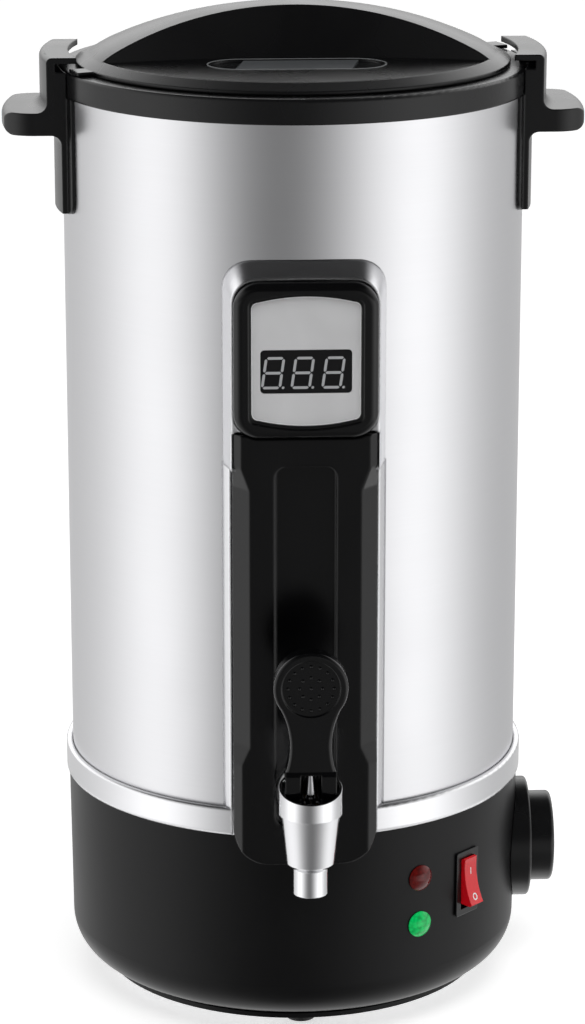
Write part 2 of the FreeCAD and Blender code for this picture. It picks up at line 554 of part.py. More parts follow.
class Outline:
    """A closed outline made of lines and arcs; every corner is tied to its two sizes."""

    def __init__(self, x, y):
        self.corners = [(Size.of(x), Size.of(y))]
        self.arcs = [None]

    def line(self, x, y):
        self.corners.append((Size.of(x), Size.of(y)))
        self.arcs.append(None)
        return self

    def arc(self, x, y, radius, left):
        """Arc to the next corner; its centre lies to the left or right of the way there."""
        self.corners.append((Size.of(x), Size.of(y)))
        self.arcs.append((Size.of(radius), left))
        return self

    def close_arc(self, radius, left):
        """Close the outline with an arc instead of a line."""
        self.arcs[0] = (Size.of(radius), left)
        return self

    def draw(self, sketch):
        count = len(self.corners)
        flat = [FreeCAD.Vector(float(x), float(y), 0) for x, y in self.corners]
        first = sketch.GeometryCount
        ends = []
        for index in range(count):
            start, end = flat[index], flat[(index + 1) % count]
            bend = self.arcs[(index + 1) % count]
            if bend is None:
                sketch.addGeometry(Part.LineSegment(start, end))
                ends.append((1, 2))
                continue
            radius, left = bend
            chord = end.sub(start)
            side = FreeCAD.Vector(-chord.y, chord.x, 0).normalize()
            rise = math.sqrt(max(float(radius) ** 2 - (chord.Length / 2) ** 2, 0.0))
            centre = start.add(end).multiply(0.5).add(side.multiply(rise if left else -rise))
            circle = Part.Circle(centre, FreeCAD.Vector(0, 0, 1), float(radius))
            from_start, to_end = circle.parameter(start), circle.parameter(end)
            if left:
                sketch.addGeometry(Part.ArcOfCircle(circle, from_start, to_end))
                ends.append((1, 2))
            else:
                sketch.addGeometry(Part.ArcOfCircle(circle, to_end, from_start))
                ends.append((2, 1))
        for index in range(count):
            after = (index + 1) % count
            sketch.addConstraint(Sketcher.Constraint(
                "Coincident", first + index, ends[index][1], first + after, ends[after][0]))
        for index, (x, y) in enumerate(self.corners):
            for kind, size in (("DistanceX", x), ("DistanceY", y)):
                number = sketch.addConstraint(Sketcher.Constraint(
                    kind, -1, 1, first + index, ends[index][0], float(size)))
                if "Sizes" in size.text:
                    sketch.setExpression(f"Constraints[{number}]", size.text)
            bend = self.arcs[(index + 1) % count]
            if bend is not None:
                number = sketch.addConstraint(Sketcher.Constraint("Radius", first + index, float(bend[0])))
                sketch.setExpression(f"Constraints[{number}]", bend[0].text)


class Ring:
    """A circle in a sketch."""

    def __init__(self, x, y, radius):
        self.x, self.y, self.radius = Size.of(x), Size.of(y), Size.of(radius)

    def draw(self, sketch):
        centre = FreeCAD.Vector(float(self.x), float(self.y), 0)
        number = sketch.addGeometry(Part.Circle(centre, FreeCAD.Vector(0, 0, 1), float(self.radius)))
        for kind, size in (("DistanceX", self.x), ("DistanceY", self.y)):
            tie = sketch.addConstraint(Sketcher.Constraint(kind, -1, 1, number, 3, float(size)))
            if "Sizes" in size.text:
                sketch.setExpression(f"Constraints[{tie}]", size.text)
        tie = sketch.addConstraint(Sketcher.Constraint("Radius", number, float(self.radius)))
        sketch.setExpression(f"Constraints[{tie}]", self.radius.text)


def rectangle(left, bottom, right, top):
    """Outline of a rectangle."""
    return Outline(left, bottom).line(right, bottom).line(right, top).line(left, top)


def rounded_rectangle(left, bottom, right, top, radius):
    """Outline of a rectangle with four round corners."""
    left, bottom, right, top, radius = (Size.of(each) for each in (left, bottom, right, top, radius))
    return (Outline(left + radius, bottom).line(right - radius, bottom)
            .arc(right, bottom + radius, radius, True).line(right, top - radius)
            .arc(right - radius, top, radius, True).line(left + radius, top)
            .arc(left, top - radius, radius, True).line(left, bottom + radius)
            .close_arc(radius, True))


def new_body(label):
    body = doc.addObject("PartDesign::Body", label)
    body.Label = label
    return body


def new_sketch(body, plane, outlines, at=None, shift=None, turn=None):
    """Sketch on one of the body's own origin planes, moved along its normal by at.

    Shift moves the sketch's origin within the plane, and turn rotates it there.
    """
    sketch = body.newObject("Sketcher::SketchObject", f"{body.Name}_sketch")
    support = next(each for each in body.Origin.OriginFeatures if each.Role == f"{plane}_Plane")
    sketch.AttachmentSupport = [(support, "")]
    sketch.MapMode = "FlatFace"
    if turn is not None:
        sketch.AttachmentOffset = FreeCAD.Placement(
            FreeCAD.Vector(), FreeCAD.Rotation(FreeCAD.Vector(0, 0, 1), float(turn)))
        bind(sketch, AttachmentOffset__Rotation__Angle=turn)
    if shift is not None:
        bind(sketch, AttachmentOffset__Base__x=shift[0], AttachmentOffset__Base__y=shift[1])
    if at is not None:
        bind(sketch, AttachmentOffset__Base__z=at)
    for outline in outlines:
        outline.draw(sketch)
    return sketch


def turned(label, outline, axis="V_Axis", plane="XZ", shift=None):
    """Body turned from a half section; the axis is the sketch's upright or level one."""
    body = new_body(label)
    sketch = new_sketch(body, plane, [outline], shift=shift)
    turn = body.newObject("PartDesign::Revolution", f"{label}_turn")
    turn.Profile = sketch
    turn.ReferenceAxis = (sketch, [axis])
    turn.Angle = 360
    body.Tip = turn
    return body


def padded(label, plane, outlines, length, at=None, both=False, shift=None, turn=None):
    """Body padded from a sketch; the length runs along the plane's normal, or to both sides of it."""
    body = new_body(label)
    sketch = new_sketch(body, plane, outlines, at=at, shift=shift, turn=turn)
    pad = body.newObject("PartDesign::Pad", f"{label}_pad")
    pad.Profile = sketch
    if both:
        pad.SideType = "Symmetric"
    bind(pad, Length=length)
    body.Tip = pad
    return body


def cylinder(label, radius, height, x=0, y=0, z=0, along="Z"):
    """Round bar from a point, along one of the axes."""
    turns = {"Z": FreeCAD.Rotation(), "Y": FreeCAD.Rotation(FreeCAD.Vector(1, 0, 0), -90),
             "X": FreeCAD.Rotation(FreeCAD.Vector(0, 1, 0), 90)}
    bar = doc.addObject("Part::Cylinder", label)
    bar.Placement = FreeCAD.Placement(FreeCAD.Vector(), turns[along])
    bind(bar, Radius=radius, Height=height)
    return place(bar, x, y, z)


def box(label, x, y, z, length, width, height):
    """Box from its lowest corner."""
    block = doc.addObject("Part::Box", label)
    bind(block, Length=length, Width=width, Height=height)
    return place(block, x, y, z)


def fuse(label, *pieces):
    whole = doc.addObject("Part::MultiFuse", label)
    whole.Shapes = list(pieces)
    whole.Refine = True
    return whole


def cut(label, base, *tools):
    """Base less its tools."""
    result = doc.addObject("Part::Cut", label)
    result.Base = base
    result.Tool = tools[0] if len(tools) == 1 else fuse(f"{label}_tools", *tools)
    result.Refine = True
    return result


def common(label, *pieces):
    result = doc.addObject("Part::MultiCommon", label)
    result.Shapes = list(pieces)
    return result


def group(label, *pieces):
    """Separate solids of one node."""
    whole = doc.addObject("Part::Compound", label)
    whole.Links = list(pieces)
    return whole


def rounded(label, base, radius, wanted):
    """Fillet on the edges that the test picks."""
    doc.recompute()
    result = doc.addObject("Part::Fillet", label)
    result.Base = base
    picked = [number for number, edge in enumerate(base.Shape.Edges, start=1) if wanted(edge)]
    result.Edges = [(number, float(radius), float(radius)) for number in picked]
    return result


def node(name, obj):
    """Name the object that becomes a file."""
    if obj.Label != name:
        obj.Label = name
    NODES[name] = obj
    return obj


def near(value, size, tolerance=0.02):
    return abs(value - float(size)) < tolerance


# --- levels that several pieces share ----------------------------------------------------------------------

base_top = dim.base_top
drum_top = base_top + dim.drum_height
band_top = base_top + dim.band_height
flange_top = drum_top + dim.tank_wall
rim_top = flange_top + dim.rim_web
rim_bottom = rim_top - dim.rim_height
tank_floor = base_top + dim.tank_floor_rise
tank_bottom = tank_floor - dim.tank_wall
tank_outer = dim.tank_radius + dim.tank_wall
drum_inner = dim.drum_radius - dim.drum_wall
# Lengths of tools that pass one wall, and all the walls on one side.
through = dim.overcut * 4
through_all = dim.overcut * 8
# A slot's end rounding as a share of its width, just short of a full half.
SLOT_END = 0.49
column_top = dim.column_bottom + dim.column_height
lower_base_radius = dim.base_radius - dim.base_taper
groove_top = dim.foot_height + dim.base_ring_height + dim.base_groove
ledge_bottom = groove_top - dim.base_ledge_drop
rounding_centre = lower_base_radius - dim.base_rounding
rounding_top = groove_top + chord_depth(
    dim.base_rounding, dim.base_ring_radius - dim.base_groove - rounding_centre)


def base_wall_radius(level):
    """Outside radius of the base's tapered wall at a level."""
    share = (level - rounding_top) / (base_top - rounding_top)
    return lower_base_radius + dim.base_taper * share


# --- base --------------------------------------------------------------------------------------------------

def build_base():
    ledge_top = ledge_bottom + dim.base_ledge_thickness
    ring_inner = dim.base_ring_radius - dim.base_ring_wall
    groove_radius = dim.base_ring_radius - dim.base_groove
    inner_rounding = dim.base_rounding - dim.base_wall
    profile = (
        Outline(dim.base_ring_radius, dim.foot_height)
        .line(dim.base_ring_radius, dim.foot_height + dim.base_ring_height)
        .line(groove_radius, dim.foot_height + dim.base_ring_height)
        .line(groove_radius, groove_top)
        .arc(lower_base_radius, rounding_top, dim.base_rounding, True)
        .line(dim.base_radius, base_top)
        .line(dim.base_radius - dim.base_wall, base_top)
        .line(lower_base_radius - dim.base_wall, rounding_top)
        .arc(rounding_centre + chord_depth(inner_rounding, rounding_top - ledge_top), ledge_top,
             inner_rounding, False)
        .line(ring_inner - dim.base_ledge, ledge_top)
        .line(ring_inner - dim.base_ledge, ledge_bottom)
        .line(ring_inner, ledge_bottom)
        .line(ring_inner, dim.foot_height))
    shell = turned("base_shell", profile)
    holes = []
    wall_run = dim.base_wall * 6
    for level, name in ((dim.lamp_upper_level, "upper"), (dim.lamp_lower_level, "lower")):
        hole = cylinder(f"lamp_hole_{name}", dim.lamp_neck_radius + dim.fit, wall_run,
                        z=level, along="Y")
        holes.append(turned_tool(hole, dim.lamp_azimuth, dim.base_radius + dim.base_wall))
    half_width = dim.switch_half_width - dim.switch_body_margin + dim.fit
    half_height = dim.switch_half_height - dim.switch_body_margin + dim.fit
    window = box("switch_hole", -half_width, 0, dim.switch_level - half_height,
                 half_width * 2, wall_run, half_height * 2)
    holes.append(turned_tool(window, dim.switch_azimuth, dim.base_radius + dim.base_wall))
    bush = cylinder("bush_hole", dim.bush_radius + dim.fit, wall_run, z=dim.knob_level, along="Y")
    holes.append(turned_tool(bush, dim.knob_azimuth, dim.base_radius + dim.base_wall))
    gland = cylinder("gland_hole", dim.gland_radius + dim.fit, wall_run,
                     y=dim.base_radius - dim.base_wall * 3, z=dim.gland_level, along="Y")
    holes.append(gland)
    screw_level = ledge_bottom - dim.cover_thickness - dim.screw_head_height
    screw_circle = ring_inner - dim.base_ledge / 2
    for index in range(4):
        angle = Size.of(45 + 90 * index)
        holes.append(cylinder(f"cover_screw_hole_{index}", dim.screw_radius + dim.fit,
                              dim.base_ledge_thickness + 2,
                              x=screw_circle * cosine(angle), y=screw_circle * sine(angle),
                              z=ledge_bottom - 1))
    node("base_housing", cut("base_housing", shell, *holes))

    cover_bottom = ledge_bottom - dim.cover_thickness
    cover = new_body("cover_disc")
    cover_sketch = new_sketch(cover, "XY", [Ring(0, 0, ring_inner - dim.fit)], at=cover_bottom)
    pad = cover.newObject("PartDesign::Pad", "cover_pad")
    pad.Profile = cover_sketch
    bind(pad, Length=dim.cover_thickness)
    slot = rounded_rectangle(dim.vent_circle_radius, -(dim.vent_width / 2),
                             dim.vent_circle_radius + dim.vent_length, dim.vent_width / 2,
                             dim.vent_width * SLOT_END)
    slot_sketch = new_sketch(cover, "XY", [slot], at=cover_bottom)
    doc.recompute()
    vent = cover.newObject("PartDesign::Pocket", "cover_vent")
    vent.Profile = slot_sketch
    vent.Type = "ThroughAll"
    vent.Midplane = True
    doc.recompute()
    vents = cover.newObject("PartDesign::PolarPattern", "cover_vents")
    vents.Originals = [vent]
    vents.Axis = (cover_sketch, ["N_Axis"])
    vents.Angle = 360
    bind(vents, Occurrences=dim.vent_count)
    cover.Tip = vents
    tools = []
    for index in range(4):
        angle = Size.of(45 + 90 * index)
        tools.append(cylinder(f"cover_hole_{index}", dim.screw_radius + dim.fit,
                              dim.overcut * 2, x=screw_circle * cosine(angle),
                              y=screw_circle * sine(angle), z=cover_bottom - dim.overcut))
        angle = Size.of(90 * index)
        tools.append(cylinder(f"foot_hole_{index}", dim.foot_neck_radius + dim.fit,
                              dim.overcut * 2, x=dim.foot_circle_radius * cosine(angle),
                              y=dim.foot_circle_radius * sine(angle),
                              z=cover_bottom - dim.overcut))
    node("base_plate", cut("base_plate", cover, *tools))

    screws = []
    for index in range(4):
        angle = Size.of(45 + 90 * index)
        screws.append(screw(f"base_screw_{index}", dim.base_ledge_thickness + dim.cover_thickness,
                            screw_circle * cosine(angle), screw_circle * sine(angle), cover_bottom))
    node("base_screws", group("base_screws", *screws))

    foot = (Outline(0, 0).line(dim.foot_radius, 0)
            .line(dim.foot_radius + dim.foot_flare, cover_bottom)
            .line(dim.foot_neck_radius, cover_bottom)
            .line(dim.foot_neck_radius, ledge_bottom)
            .line(dim.foot_neck_radius + dim.foot_barb, ledge_bottom)
            .line(dim.foot_neck_radius, ledge_bottom + dim.foot_barb * 2)
            .line(0, ledge_bottom + dim.foot_barb * 2))
    feet = []
    for index in range(4):
        angle = Size.of(90 * index)
        feet.append(place(turned(f"foot_{index}", foot), dim.foot_circle_radius * cosine(angle),
                          dim.foot_circle_radius * sine(angle)))
    node("rubber_feet", group("rubber_feet", *feet))


# A pan head's flat top as a share of its radius, and its upright rim as a share of its height.
HEAD_TOP = 0.7
HEAD_RIM = 0.4


def screw(label, grip, x, y, z):
    """Pan-head screw that points up, its head's top face at z."""
    return place(turned(label, screw_outline(dim.screw_radius, dim.screw_head_radius, grip)), x, y, z)


def screw_outline(radius, head_radius, grip):
    """Half section of a pan-head screw whose head hangs below its origin."""
    head = dim.screw_head_height
    return (Outline(0, -head).line(head_radius * HEAD_TOP, -head).line(head_radius, -(head * HEAD_RIM))
            .line(head_radius, 0).line(radius, 0).line(radius, grip).line(0, grip))


def turned_tool(tool, azimuth, reach):
    """Move a tool that is drawn along +Y out to the front wall, and turn it to its azimuth."""
    tool.setExpression("Placement.Base.y", (-reach).text)
    holder = doc.addObject("Part::Compound", f"{tool.Label}_turned")
    holder.Links = [tool]
    return place(holder, azimuth=azimuth)


# --- drum, tank and rim ------------------------------------------------------------------------------------

def build_drum():
    tube = turned("drum_tube", rectangle(drum_inner, base_top, dim.drum_radius, drum_top))
    opening = box("display_opening", -display_cavity_half_width, -dim.drum_radius - dim.overcut,
                  window_level - dim.display_board_height / 2, display_cavity_half_width * 2, through,
                  dim.display_board_height)
    tools = [opening, cylinder("shank_drum_hole", shank_hole, through_all,
                               y=-dim.drum_radius - dim.overcut, z=dim.shank_level, along="Y")]
    for side in (-1, 1):
        for way in (-1, 1):
            start = dim.handle_screw_spread * side
            tools.append(cylinder(f"handle_hole_{side}_{way}".replace("-", "m"),
                                  dim.screw_radius + dim.fit, through,
                                  x=dim.drum_radius * way - through / 2,
                                  y=start, z=handle_screw_level, along="X"))
    for name, x, z in column_screw_places():
        tools.append(cylinder(f"column_hole_{name}", dim.screw_radius + dim.fit, through, x=x,
                              y=-(dim.drum_radius + dim.overcut), z=z, along="Y"))
    node("outer_shell", cut("outer_shell", tube, *tools))

    band_inner = dim.drum_radius + dim.band_gap
    band = (Outline(band_inner, base_top).line(dim.band_radius, base_top)
            .line(dim.band_radius, band_top - dim.band_rounding)
            .arc(dim.band_radius - dim.band_rounding, band_top, dim.band_rounding, True)
            .line(band_inner, band_top))
    node("base_band", turned("base_band", band))

    tank = (Outline(0, tank_bottom).line(dim.tank_radius - dim.tank_rounding, tank_bottom)
            .arc(tank_outer, tank_floor + dim.tank_rounding, dim.tank_rounding + dim.tank_wall, True)
            .line(tank_outer, drum_top).line(dim.drum_radius, drum_top).line(dim.drum_radius, flange_top)
            .line(dim.tank_radius, flange_top).line(dim.tank_radius, tank_floor + dim.tank_rounding)
            .arc(dim.tank_radius - dim.tank_rounding, tank_floor, dim.tank_rounding, False)
            .line(0, tank_floor))
    tank_body = turned("tank_shell", tank)
    shank_cut = cylinder("shank_tank_hole", shank_hole, through_all,
                         y=-dim.drum_radius - dim.overcut, z=dim.shank_level, along="Y")
    probe_cut = cylinder("probe_tank_hole", dim.probe_radius + dim.fit, through,
                         y=dim.tank_radius - through / 2, z=dim.probe_level, along="Y")
    node("inner_pot", cut("inner_pot", tank_body, shank_cut, probe_cut))

    wool_radius = tank_outer + dim.insulation_thickness
    wool = turned("wool_jacket", rectangle(
        tank_outer + dim.seat_gap, tank_bottom + dim.insulation_margin, wool_radius,
        drum_top - dim.insulation_margin))
    shank_space = cylinder("shank_wool_hole", dim.washer_radius + dim.wool_gap, through_all,
                           y=-dim.drum_radius - dim.overcut, z=dim.shank_level, along="Y")
    probe_space = cylinder("probe_wool_hole", dim.probe_flange_radius + dim.wool_gap, through,
                           y=dim.tank_radius - dim.overcut, z=dim.probe_level, along="Y")
    node("insulation", cut("insulation", wool, shank_space, probe_space))

    rim = (Outline(dim.drum_radius + dim.seat_gap, rim_bottom).line(dim.rim_radius, rim_bottom)
           .line(dim.rim_radius, rim_top - dim.rim_rounding)
           .arc(dim.rim_radius - dim.rim_rounding, rim_top, dim.rim_rounding, True)
           .line(dim.rim_inner_radius, rim_top).line(dim.rim_inner_radius, flange_top)
           .line(dim.drum_radius + dim.seat_gap, flange_top))
    node("rim_ring", turned("rim_ring", rim))


# --- lid ---------------------------------------------------------------------------------------------------

def dome_body(label, drop, edge_radius, bottom):
    """The lid's domed upper form, lowered by a wall, out to a radius and down to a level."""
    top = rim_top + dim.lid_height - drop
    shoulder = top - dim.lid_dome_radius + chord_depth(dim.lid_dome_radius, dim.lid_shoulder_radius)
    crease = rim_top + dim.lid_crease_height - drop
    outline = (Outline(0, bottom).line(edge_radius, bottom).line(edge_radius, crease)
               .arc(dim.lid_shoulder_radius, shoulder, dim.lid_shoulder_rounding, True)
               .arc(0, top, dim.lid_dome_radius, True))
    return turned(label, outline)


def recess_tools(label, growth, bottom):
    """The two drafted round tools that leave the grip bar between them."""
    height = dim.lid_height + dim.overcut
    foot = dim.recess_radius - growth / cosine(dim.recess_draft)
    tools = []
    for way, name in ((-1, "front"), (1, "back")):
        cone = doc.addObject("Part::Cone", f"{label}_{name}")
        bind(cone, Radius1=foot, Radius2=foot + tangent(dim.recess_draft) * height, Height=height)
        place(cone, 0, (dim.bar_half_width + dim.recess_radius) * way, bottom)
        tools.append(cone)
    return tools


def build_lid():
    seat = rim_top + dim.lid_gap
    crease_level = rim_top + dim.lid_crease_height
    floor = crease_level - dim.lid_floor_drop
    edge = turned("lid_edge", Outline(0, seat).line(dim.lid_radius, seat)
                  .line(dim.lid_radius, seat + dim.lid_edge_thickness)
                  .line(dim.lid_crease_radius, crease_level).line(0, crease_level))
    dome = dome_body("lid_dome", Size.of(0), dim.lid_crease_radius, seat)
    pit = common("lid_recesses", fuse("lid_recess_cones", *recess_tools("lid_recess", Size.of(0), floor)),
                 cylinder("lid_recess_limit", dim.lid_crease_radius - dim.lid_floor_drop,
                          dim.lid_height + dim.overcut, z=floor))
    outside = cut("lid_outside", fuse("lid_block", edge, dome), pit)
    hollow_bottom = seat - 1
    ceiling = floor - dim.lid_wall
    hollow_radius = dim.liner_radius + dim.lid_gap
    hollow = cut("lid_hollow_bar",
                 dome_body("lid_hollow_dome", dim.lid_wall, hollow_radius - 1, hollow_bottom),
                 *recess_tools("lid_hollow_recess", -dim.lid_wall, ceiling))
    cavity = cylinder("lid_cavity", hollow_radius, ceiling - hollow_bottom, z=hollow_bottom)
    slot_half = dim.inset_length / 2
    slot = padded("lid_slot", "XY", [rounded_rectangle(
        -slot_half, -(dim.inset_offset + dim.inset_width / 2), slot_half,
        -(dim.inset_offset - dim.inset_width / 2), dim.inset_width * SLOT_END)],
        dim.inset_depth + 1, at=floor - dim.inset_depth)
    liner_floor = rim_top - dim.liner_depth
    posts = []
    for side in (-1, 1):
        posts.append(cylinder(f"lid_boss_{side}".replace("-", "m"), dim.lid_boss_radius,
                              dim.lid_height, x=dim.lid_boss_offset * side,
                              z=liner_floor + dim.liner_sheet))
    bosses = common("lid_bosses", fuse("lid_boss_pair", *posts),
                    dome_body("lid_boss_dome", dim.lid_wall / 2, hollow_radius - 2,
                              liner_floor + dim.liner_sheet))
    lugs = []
    for start, name in ((Size.of(0), "right"), (Size.of(180), "left")):
        lug = doc.addObject("Part::Cylinder", f"lid_lug_{name}")
        bind(lug, Radius=dim.lug_reach, Height=dim.lug_thickness, Angle=dim.lug_half_angle * 2)
        place(lug, z=seat, azimuth=start + dim.lock_angle - dim.lug_half_angle)
        lugs.append(lug)
    lug_ring = cut("lid_lugs", fuse("lid_lug_pair", *lugs),
                   cylinder("lid_lug_core", dim.lid_radius - dim.lug_root, dim.overcut * 2,
                            z=seat - dim.overcut))
    screw_holes = [cylinder(f"lid_screw_hole_{side}".replace("-", "m"),
                            dim.lid_screw_radius + dim.running_gap, dim.lid_screw_grip + 2,
                            x=dim.lid_boss_offset * side, z=liner_floor) for side in (-1, 1)]
    moulding = cut("lid_moulding", outside, hollow, cavity, slot)
    node("lid", cut("lid", fuse("lid_with_lugs", moulding, bosses, lug_ring), *screw_holes))

    plate_half = dim.inset_plate_length / 2
    half_width = dim.inset_width / 2 - dim.inset_plate_margin
    slant_half = plate_half - dim.inset_plate_slant
    plate = (Outline(-plate_half, -half_width).line(slant_half, -half_width)
             .line(plate_half, half_width).line(-slant_half, half_width))
    plate_body = padded("lid_inset_plate", "XY", [plate], dim.inset_plate_thickness,
                        at=floor - dim.inset_depth)
    node("lid_inset_plate", place(plate_body, y=-dim.inset_offset))

    liner = (Outline(0, liner_floor).line(dim.liner_radius, liner_floor)
             .line(dim.liner_radius, ceiling - dim.seat_gap)
             .line(dim.liner_radius - dim.liner_sheet, ceiling - dim.seat_gap)
             .line(dim.liner_radius - dim.liner_sheet, liner_floor + dim.liner_sheet)
             .line(0, liner_floor + dim.liner_sheet))
    holes = [cylinder(f"liner_hole_{side}".replace("-", "m"), dim.lid_screw_radius + dim.fit,
                      dim.overcut * 2, x=dim.lid_boss_offset * side, z=liner_floor - dim.overcut)
             for side in (-1, 1)]
    node("lid_liner", cut("lid_liner", turned("liner_pan", liner), *holes))

    screws = []
    for side in (-1, 1):
        profile = screw_outline(dim.lid_screw_radius, dim.lid_screw_head_radius, dim.lid_screw_grip)
        screws.append(place(turned(f"lid_screw_{side}".replace("-", "m"), profile),
                            dim.lid_boss_offset * side, 0, liner_floor))
    node("lid_screws", group("lid_screws", *screws))

    leg_inner = dim.liner_radius + dim.seal_gap
    leg_outer = leg_inner + dim.seal_leg
    seal_bottom = rim_top - dim.seal_depth
    lip_bottom = flange_top + dim.seal_gap
    lip_top = lip_bottom + dim.seal_lip_thickness
    seal = (Outline(leg_inner, seal_bottom).line(leg_outer, seal_bottom).line(leg_outer, lip_bottom)
            .line(dim.seal_lip_radius, lip_bottom).line(dim.seal_lip_radius, lip_top)
            .line(leg_inner, lip_top))
    node("lid_seal", turned("lid_seal", seal))


# --- side handles ------------------------------------------------------------------------------------------

def build_handles():
    slot_top = rim_top + dim.jaw_gap
    jaw_top = slot_top + dim.jaw_thickness
    grip_top = rim_top - dim.grip_drop
    grip_bottom = grip_top - dim.grip_thickness
    leg_bottom = rim_bottom - dim.leg_height
    inside = dim.tank_radius
    face = dim.handle_face
    fillet = dim.grip_fillet
    tip = dim.grip_rounding
    profile = (
        Outline(inside, jaw_top).line(inside, leg_bottom).line(dim.leg_face, leg_bottom)
        .line(dim.leg_face, grip_bottom - fillet)
        .arc(dim.leg_face + fillet, grip_bottom, fillet, False)
        .line(dim.grip_reach - tip, grip_bottom)
        .arc(dim.grip_reach, grip_bottom + tip, tip, True)
        .line(dim.grip_reach, grip_top - tip).arc(dim.grip_reach - tip, grip_top, tip, True)
        .line(face + fillet, grip_top).arc(face, grip_top + fillet, fillet, False)
        .line(face, jaw_top - dim.handle_rounding)
        .arc(face - dim.handle_rounding, jaw_top, dim.handle_rounding, True))
    half, corner = dim.handle_half_width, dim.grip_corner
    plan = (Outline(0, -half).line(dim.grip_reach - corner, -half)
            .arc(dim.grip_reach, corner - half, corner, True).line(dim.grip_reach, half - corner)
            .arc(dim.grip_reach - corner, half, corner, True).line(0, half))
    block = common("handle_block", turned("handle_round", profile),
                   padded("handle_plan", "XY", [plan], jaw_top + corner))

    half, corner = dim.leg_half_width, dim.leg_rounding
    front = (Outline(-(half - corner), leg_bottom).line(half - corner, leg_bottom)
             .arc(half, leg_bottom + corner, corner, True).line(half, rim_top)
             .line(-half, rim_top).line(-half, leg_bottom + corner).close_arc(corner, True))
    flare = common("handle_flare", padded("handle_front", "YZ", [front], dim.grip_reach),
                   turned("handle_flare_ring", rectangle(inside, leg_bottom, dim.flare_face,
                                                         rim_bottom - dim.fit)))
    whole = fuse("handle_whole", block, flare)

    wall = turned("handle_seat", Outline(0, leg_bottom - dim.overcut)
                  .line(dim.drum_radius + dim.seat_gap, leg_bottom - dim.overcut)
                  .line(dim.drum_radius + dim.seat_gap, rim_bottom - dim.fit)
                  .line(dim.rim_radius + dim.fit, rim_bottom - dim.fit)
                  .line(dim.rim_radius + dim.fit, rim_top + dim.seat_gap)
                  .line(dim.jaw_radius, rim_top + dim.seat_gap)
                  .line(dim.jaw_radius, jaw_top + dim.overcut).line(0, jaw_top + dim.overcut))
    stop_front = dim.lug_reach * sine(dim.lug_half_angle) + dim.stop_gap
    slot = turned("handle_slot", rectangle(dim.tank_radius, rim_top, dim.slot_reach, slot_top))
    stop = box("handle_stop", dim.jaw_radius + dim.fit, -stop_front - dim.stop_width, rim_top - 1,
               dim.slot_reach - dim.jaw_radius, dim.stop_width, dim.jaw_gap + 2)
    slot_with_stop = cut("handle_slot_stopped", slot, stop)
    screw_holes = [cylinder(f"handle_pilot_{side}".replace("-", "m"),
                            dim.screw_radius + dim.running_gap,
                            handle_screw_length + dim.running_gap, x=handle_screw_seat,
                            y=dim.handle_screw_spread * side, z=handle_screw_level, along="X")
                   for side in (-1, 1)]
    right = cut("handle_right", whole, wall, slot_with_stop, *screw_holes)
    node("handle_right", right)
    left = doc.addObject("Part::Compound", "handle_left")
    left.Links = [right]
    node("handle_left", place(left, azimuth=Size.of(180)))

    screws = []
    for way, azimuth in ((1, 90), (-1, -90)):
        for side in (-1, 1):
            screws.append(wall_screw(f"handle_screw_{way}_{side}".replace("-", "m"), azimuth,
                                     handle_screw_seat, dim.handle_screw_spread * side,
                                     handle_screw_level, handle_screw_length))
    node("handle_screws", group("handle_screws", *screws))


def wall_screw(label, azimuth, seat, sideways, level, grip):
    """Pan-head screw through the drum from inside, its head's face at the seat, turned to its azimuth."""
    head = dim.screw_head_height
    profile = (Outline(-(seat - head), 0).line(-(seat - head), dim.screw_head_radius * HEAD_TOP)
               .line(-(seat - head * HEAD_RIM), dim.screw_head_radius)
               .line(-seat, dim.screw_head_radius)
               .line(-seat, dim.screw_radius).line(-(seat + grip), dim.screw_radius)
               .line(-(seat + grip), 0))
    inner = turned(f"{label}_body", profile, axis="H_Axis", plane="YZ")
    place(inner, x=sideways, z=level)
    holder = doc.addObject("Part::Compound", label)
    holder.Links = [inner]
    return place(holder, azimuth=Size.of(azimuth))


handle_screw_level = rim_bottom - dim.handle_screw_drop
handle_screw_seat = chord_depth(drum_inner, dim.handle_screw_spread + dim.screw_head_radius)
handle_screw_end = chord_depth(dim.leg_face, dim.handle_screw_spread + dim.screw_radius) - dim.handle_skin
handle_screw_length = handle_screw_end - handle_screw_seat


# --- column and display ------------------------------------------------------------------------------------

plate_level = dim.bezel_bottom + dim.bezel_height / 2
window_level = plate_level - dim.window_drop
display_cavity_half_width = dim.display_board_half_width + 1
shank_hole = dim.shank_radius + dim.shank_hole_gap
bezel_back = dim.drum_radius + dim.seat_gap
column_screw_seat = chord_depth(drum_inner, dim.column_half_width / 2 + dim.screw_head_radius)


def column_screw_places():
    """Name, place across and level of the three screws that hold the column."""
    lower = band_top + dim.column_screw_rise
    upper = column_top - dim.column_screw_drop
    return [("lower_left", -(dim.column_half_width / 2), lower),
            ("lower_right", dim.column_half_width / 2, lower), ("upper", Size.of(0), upper)]


def column_section(half_width, chamfer):
    """Plan section of the column: flat front, slanted sides, open towards the drum."""
    slant = (dim.column_front - dim.column_side) * (chamfer / dim.column_chamfer)
    back = dim.tank_radius
    return (Outline(-half_width, -back).line(-half_width, -(dim.column_front - slant))
            .line(-(half_width - chamfer), -dim.column_front).line(half_width - chamfer, -dim.column_front)
            .line(half_width, -(dim.column_front - slant)).line(half_width, -back))


def wall_tool(label, gap):
    """Solid of the drum, band and base with a small gap, to shape what seats on them."""
    outline = (Outline(0, dim.foot_height).line(lower_base_radius + gap, dim.foot_height)
               .line(lower_base_radius + gap, rounding_top).line(dim.base_radius + gap, base_top)
               .line(dim.band_radius + gap, base_top).line(dim.band_radius + gap, band_top + gap)
               .line(dim.drum_radius + gap, band_top + gap).line(dim.drum_radius + gap, drum_top)
               .line(0, drum_top))
    return turned(label, outline)


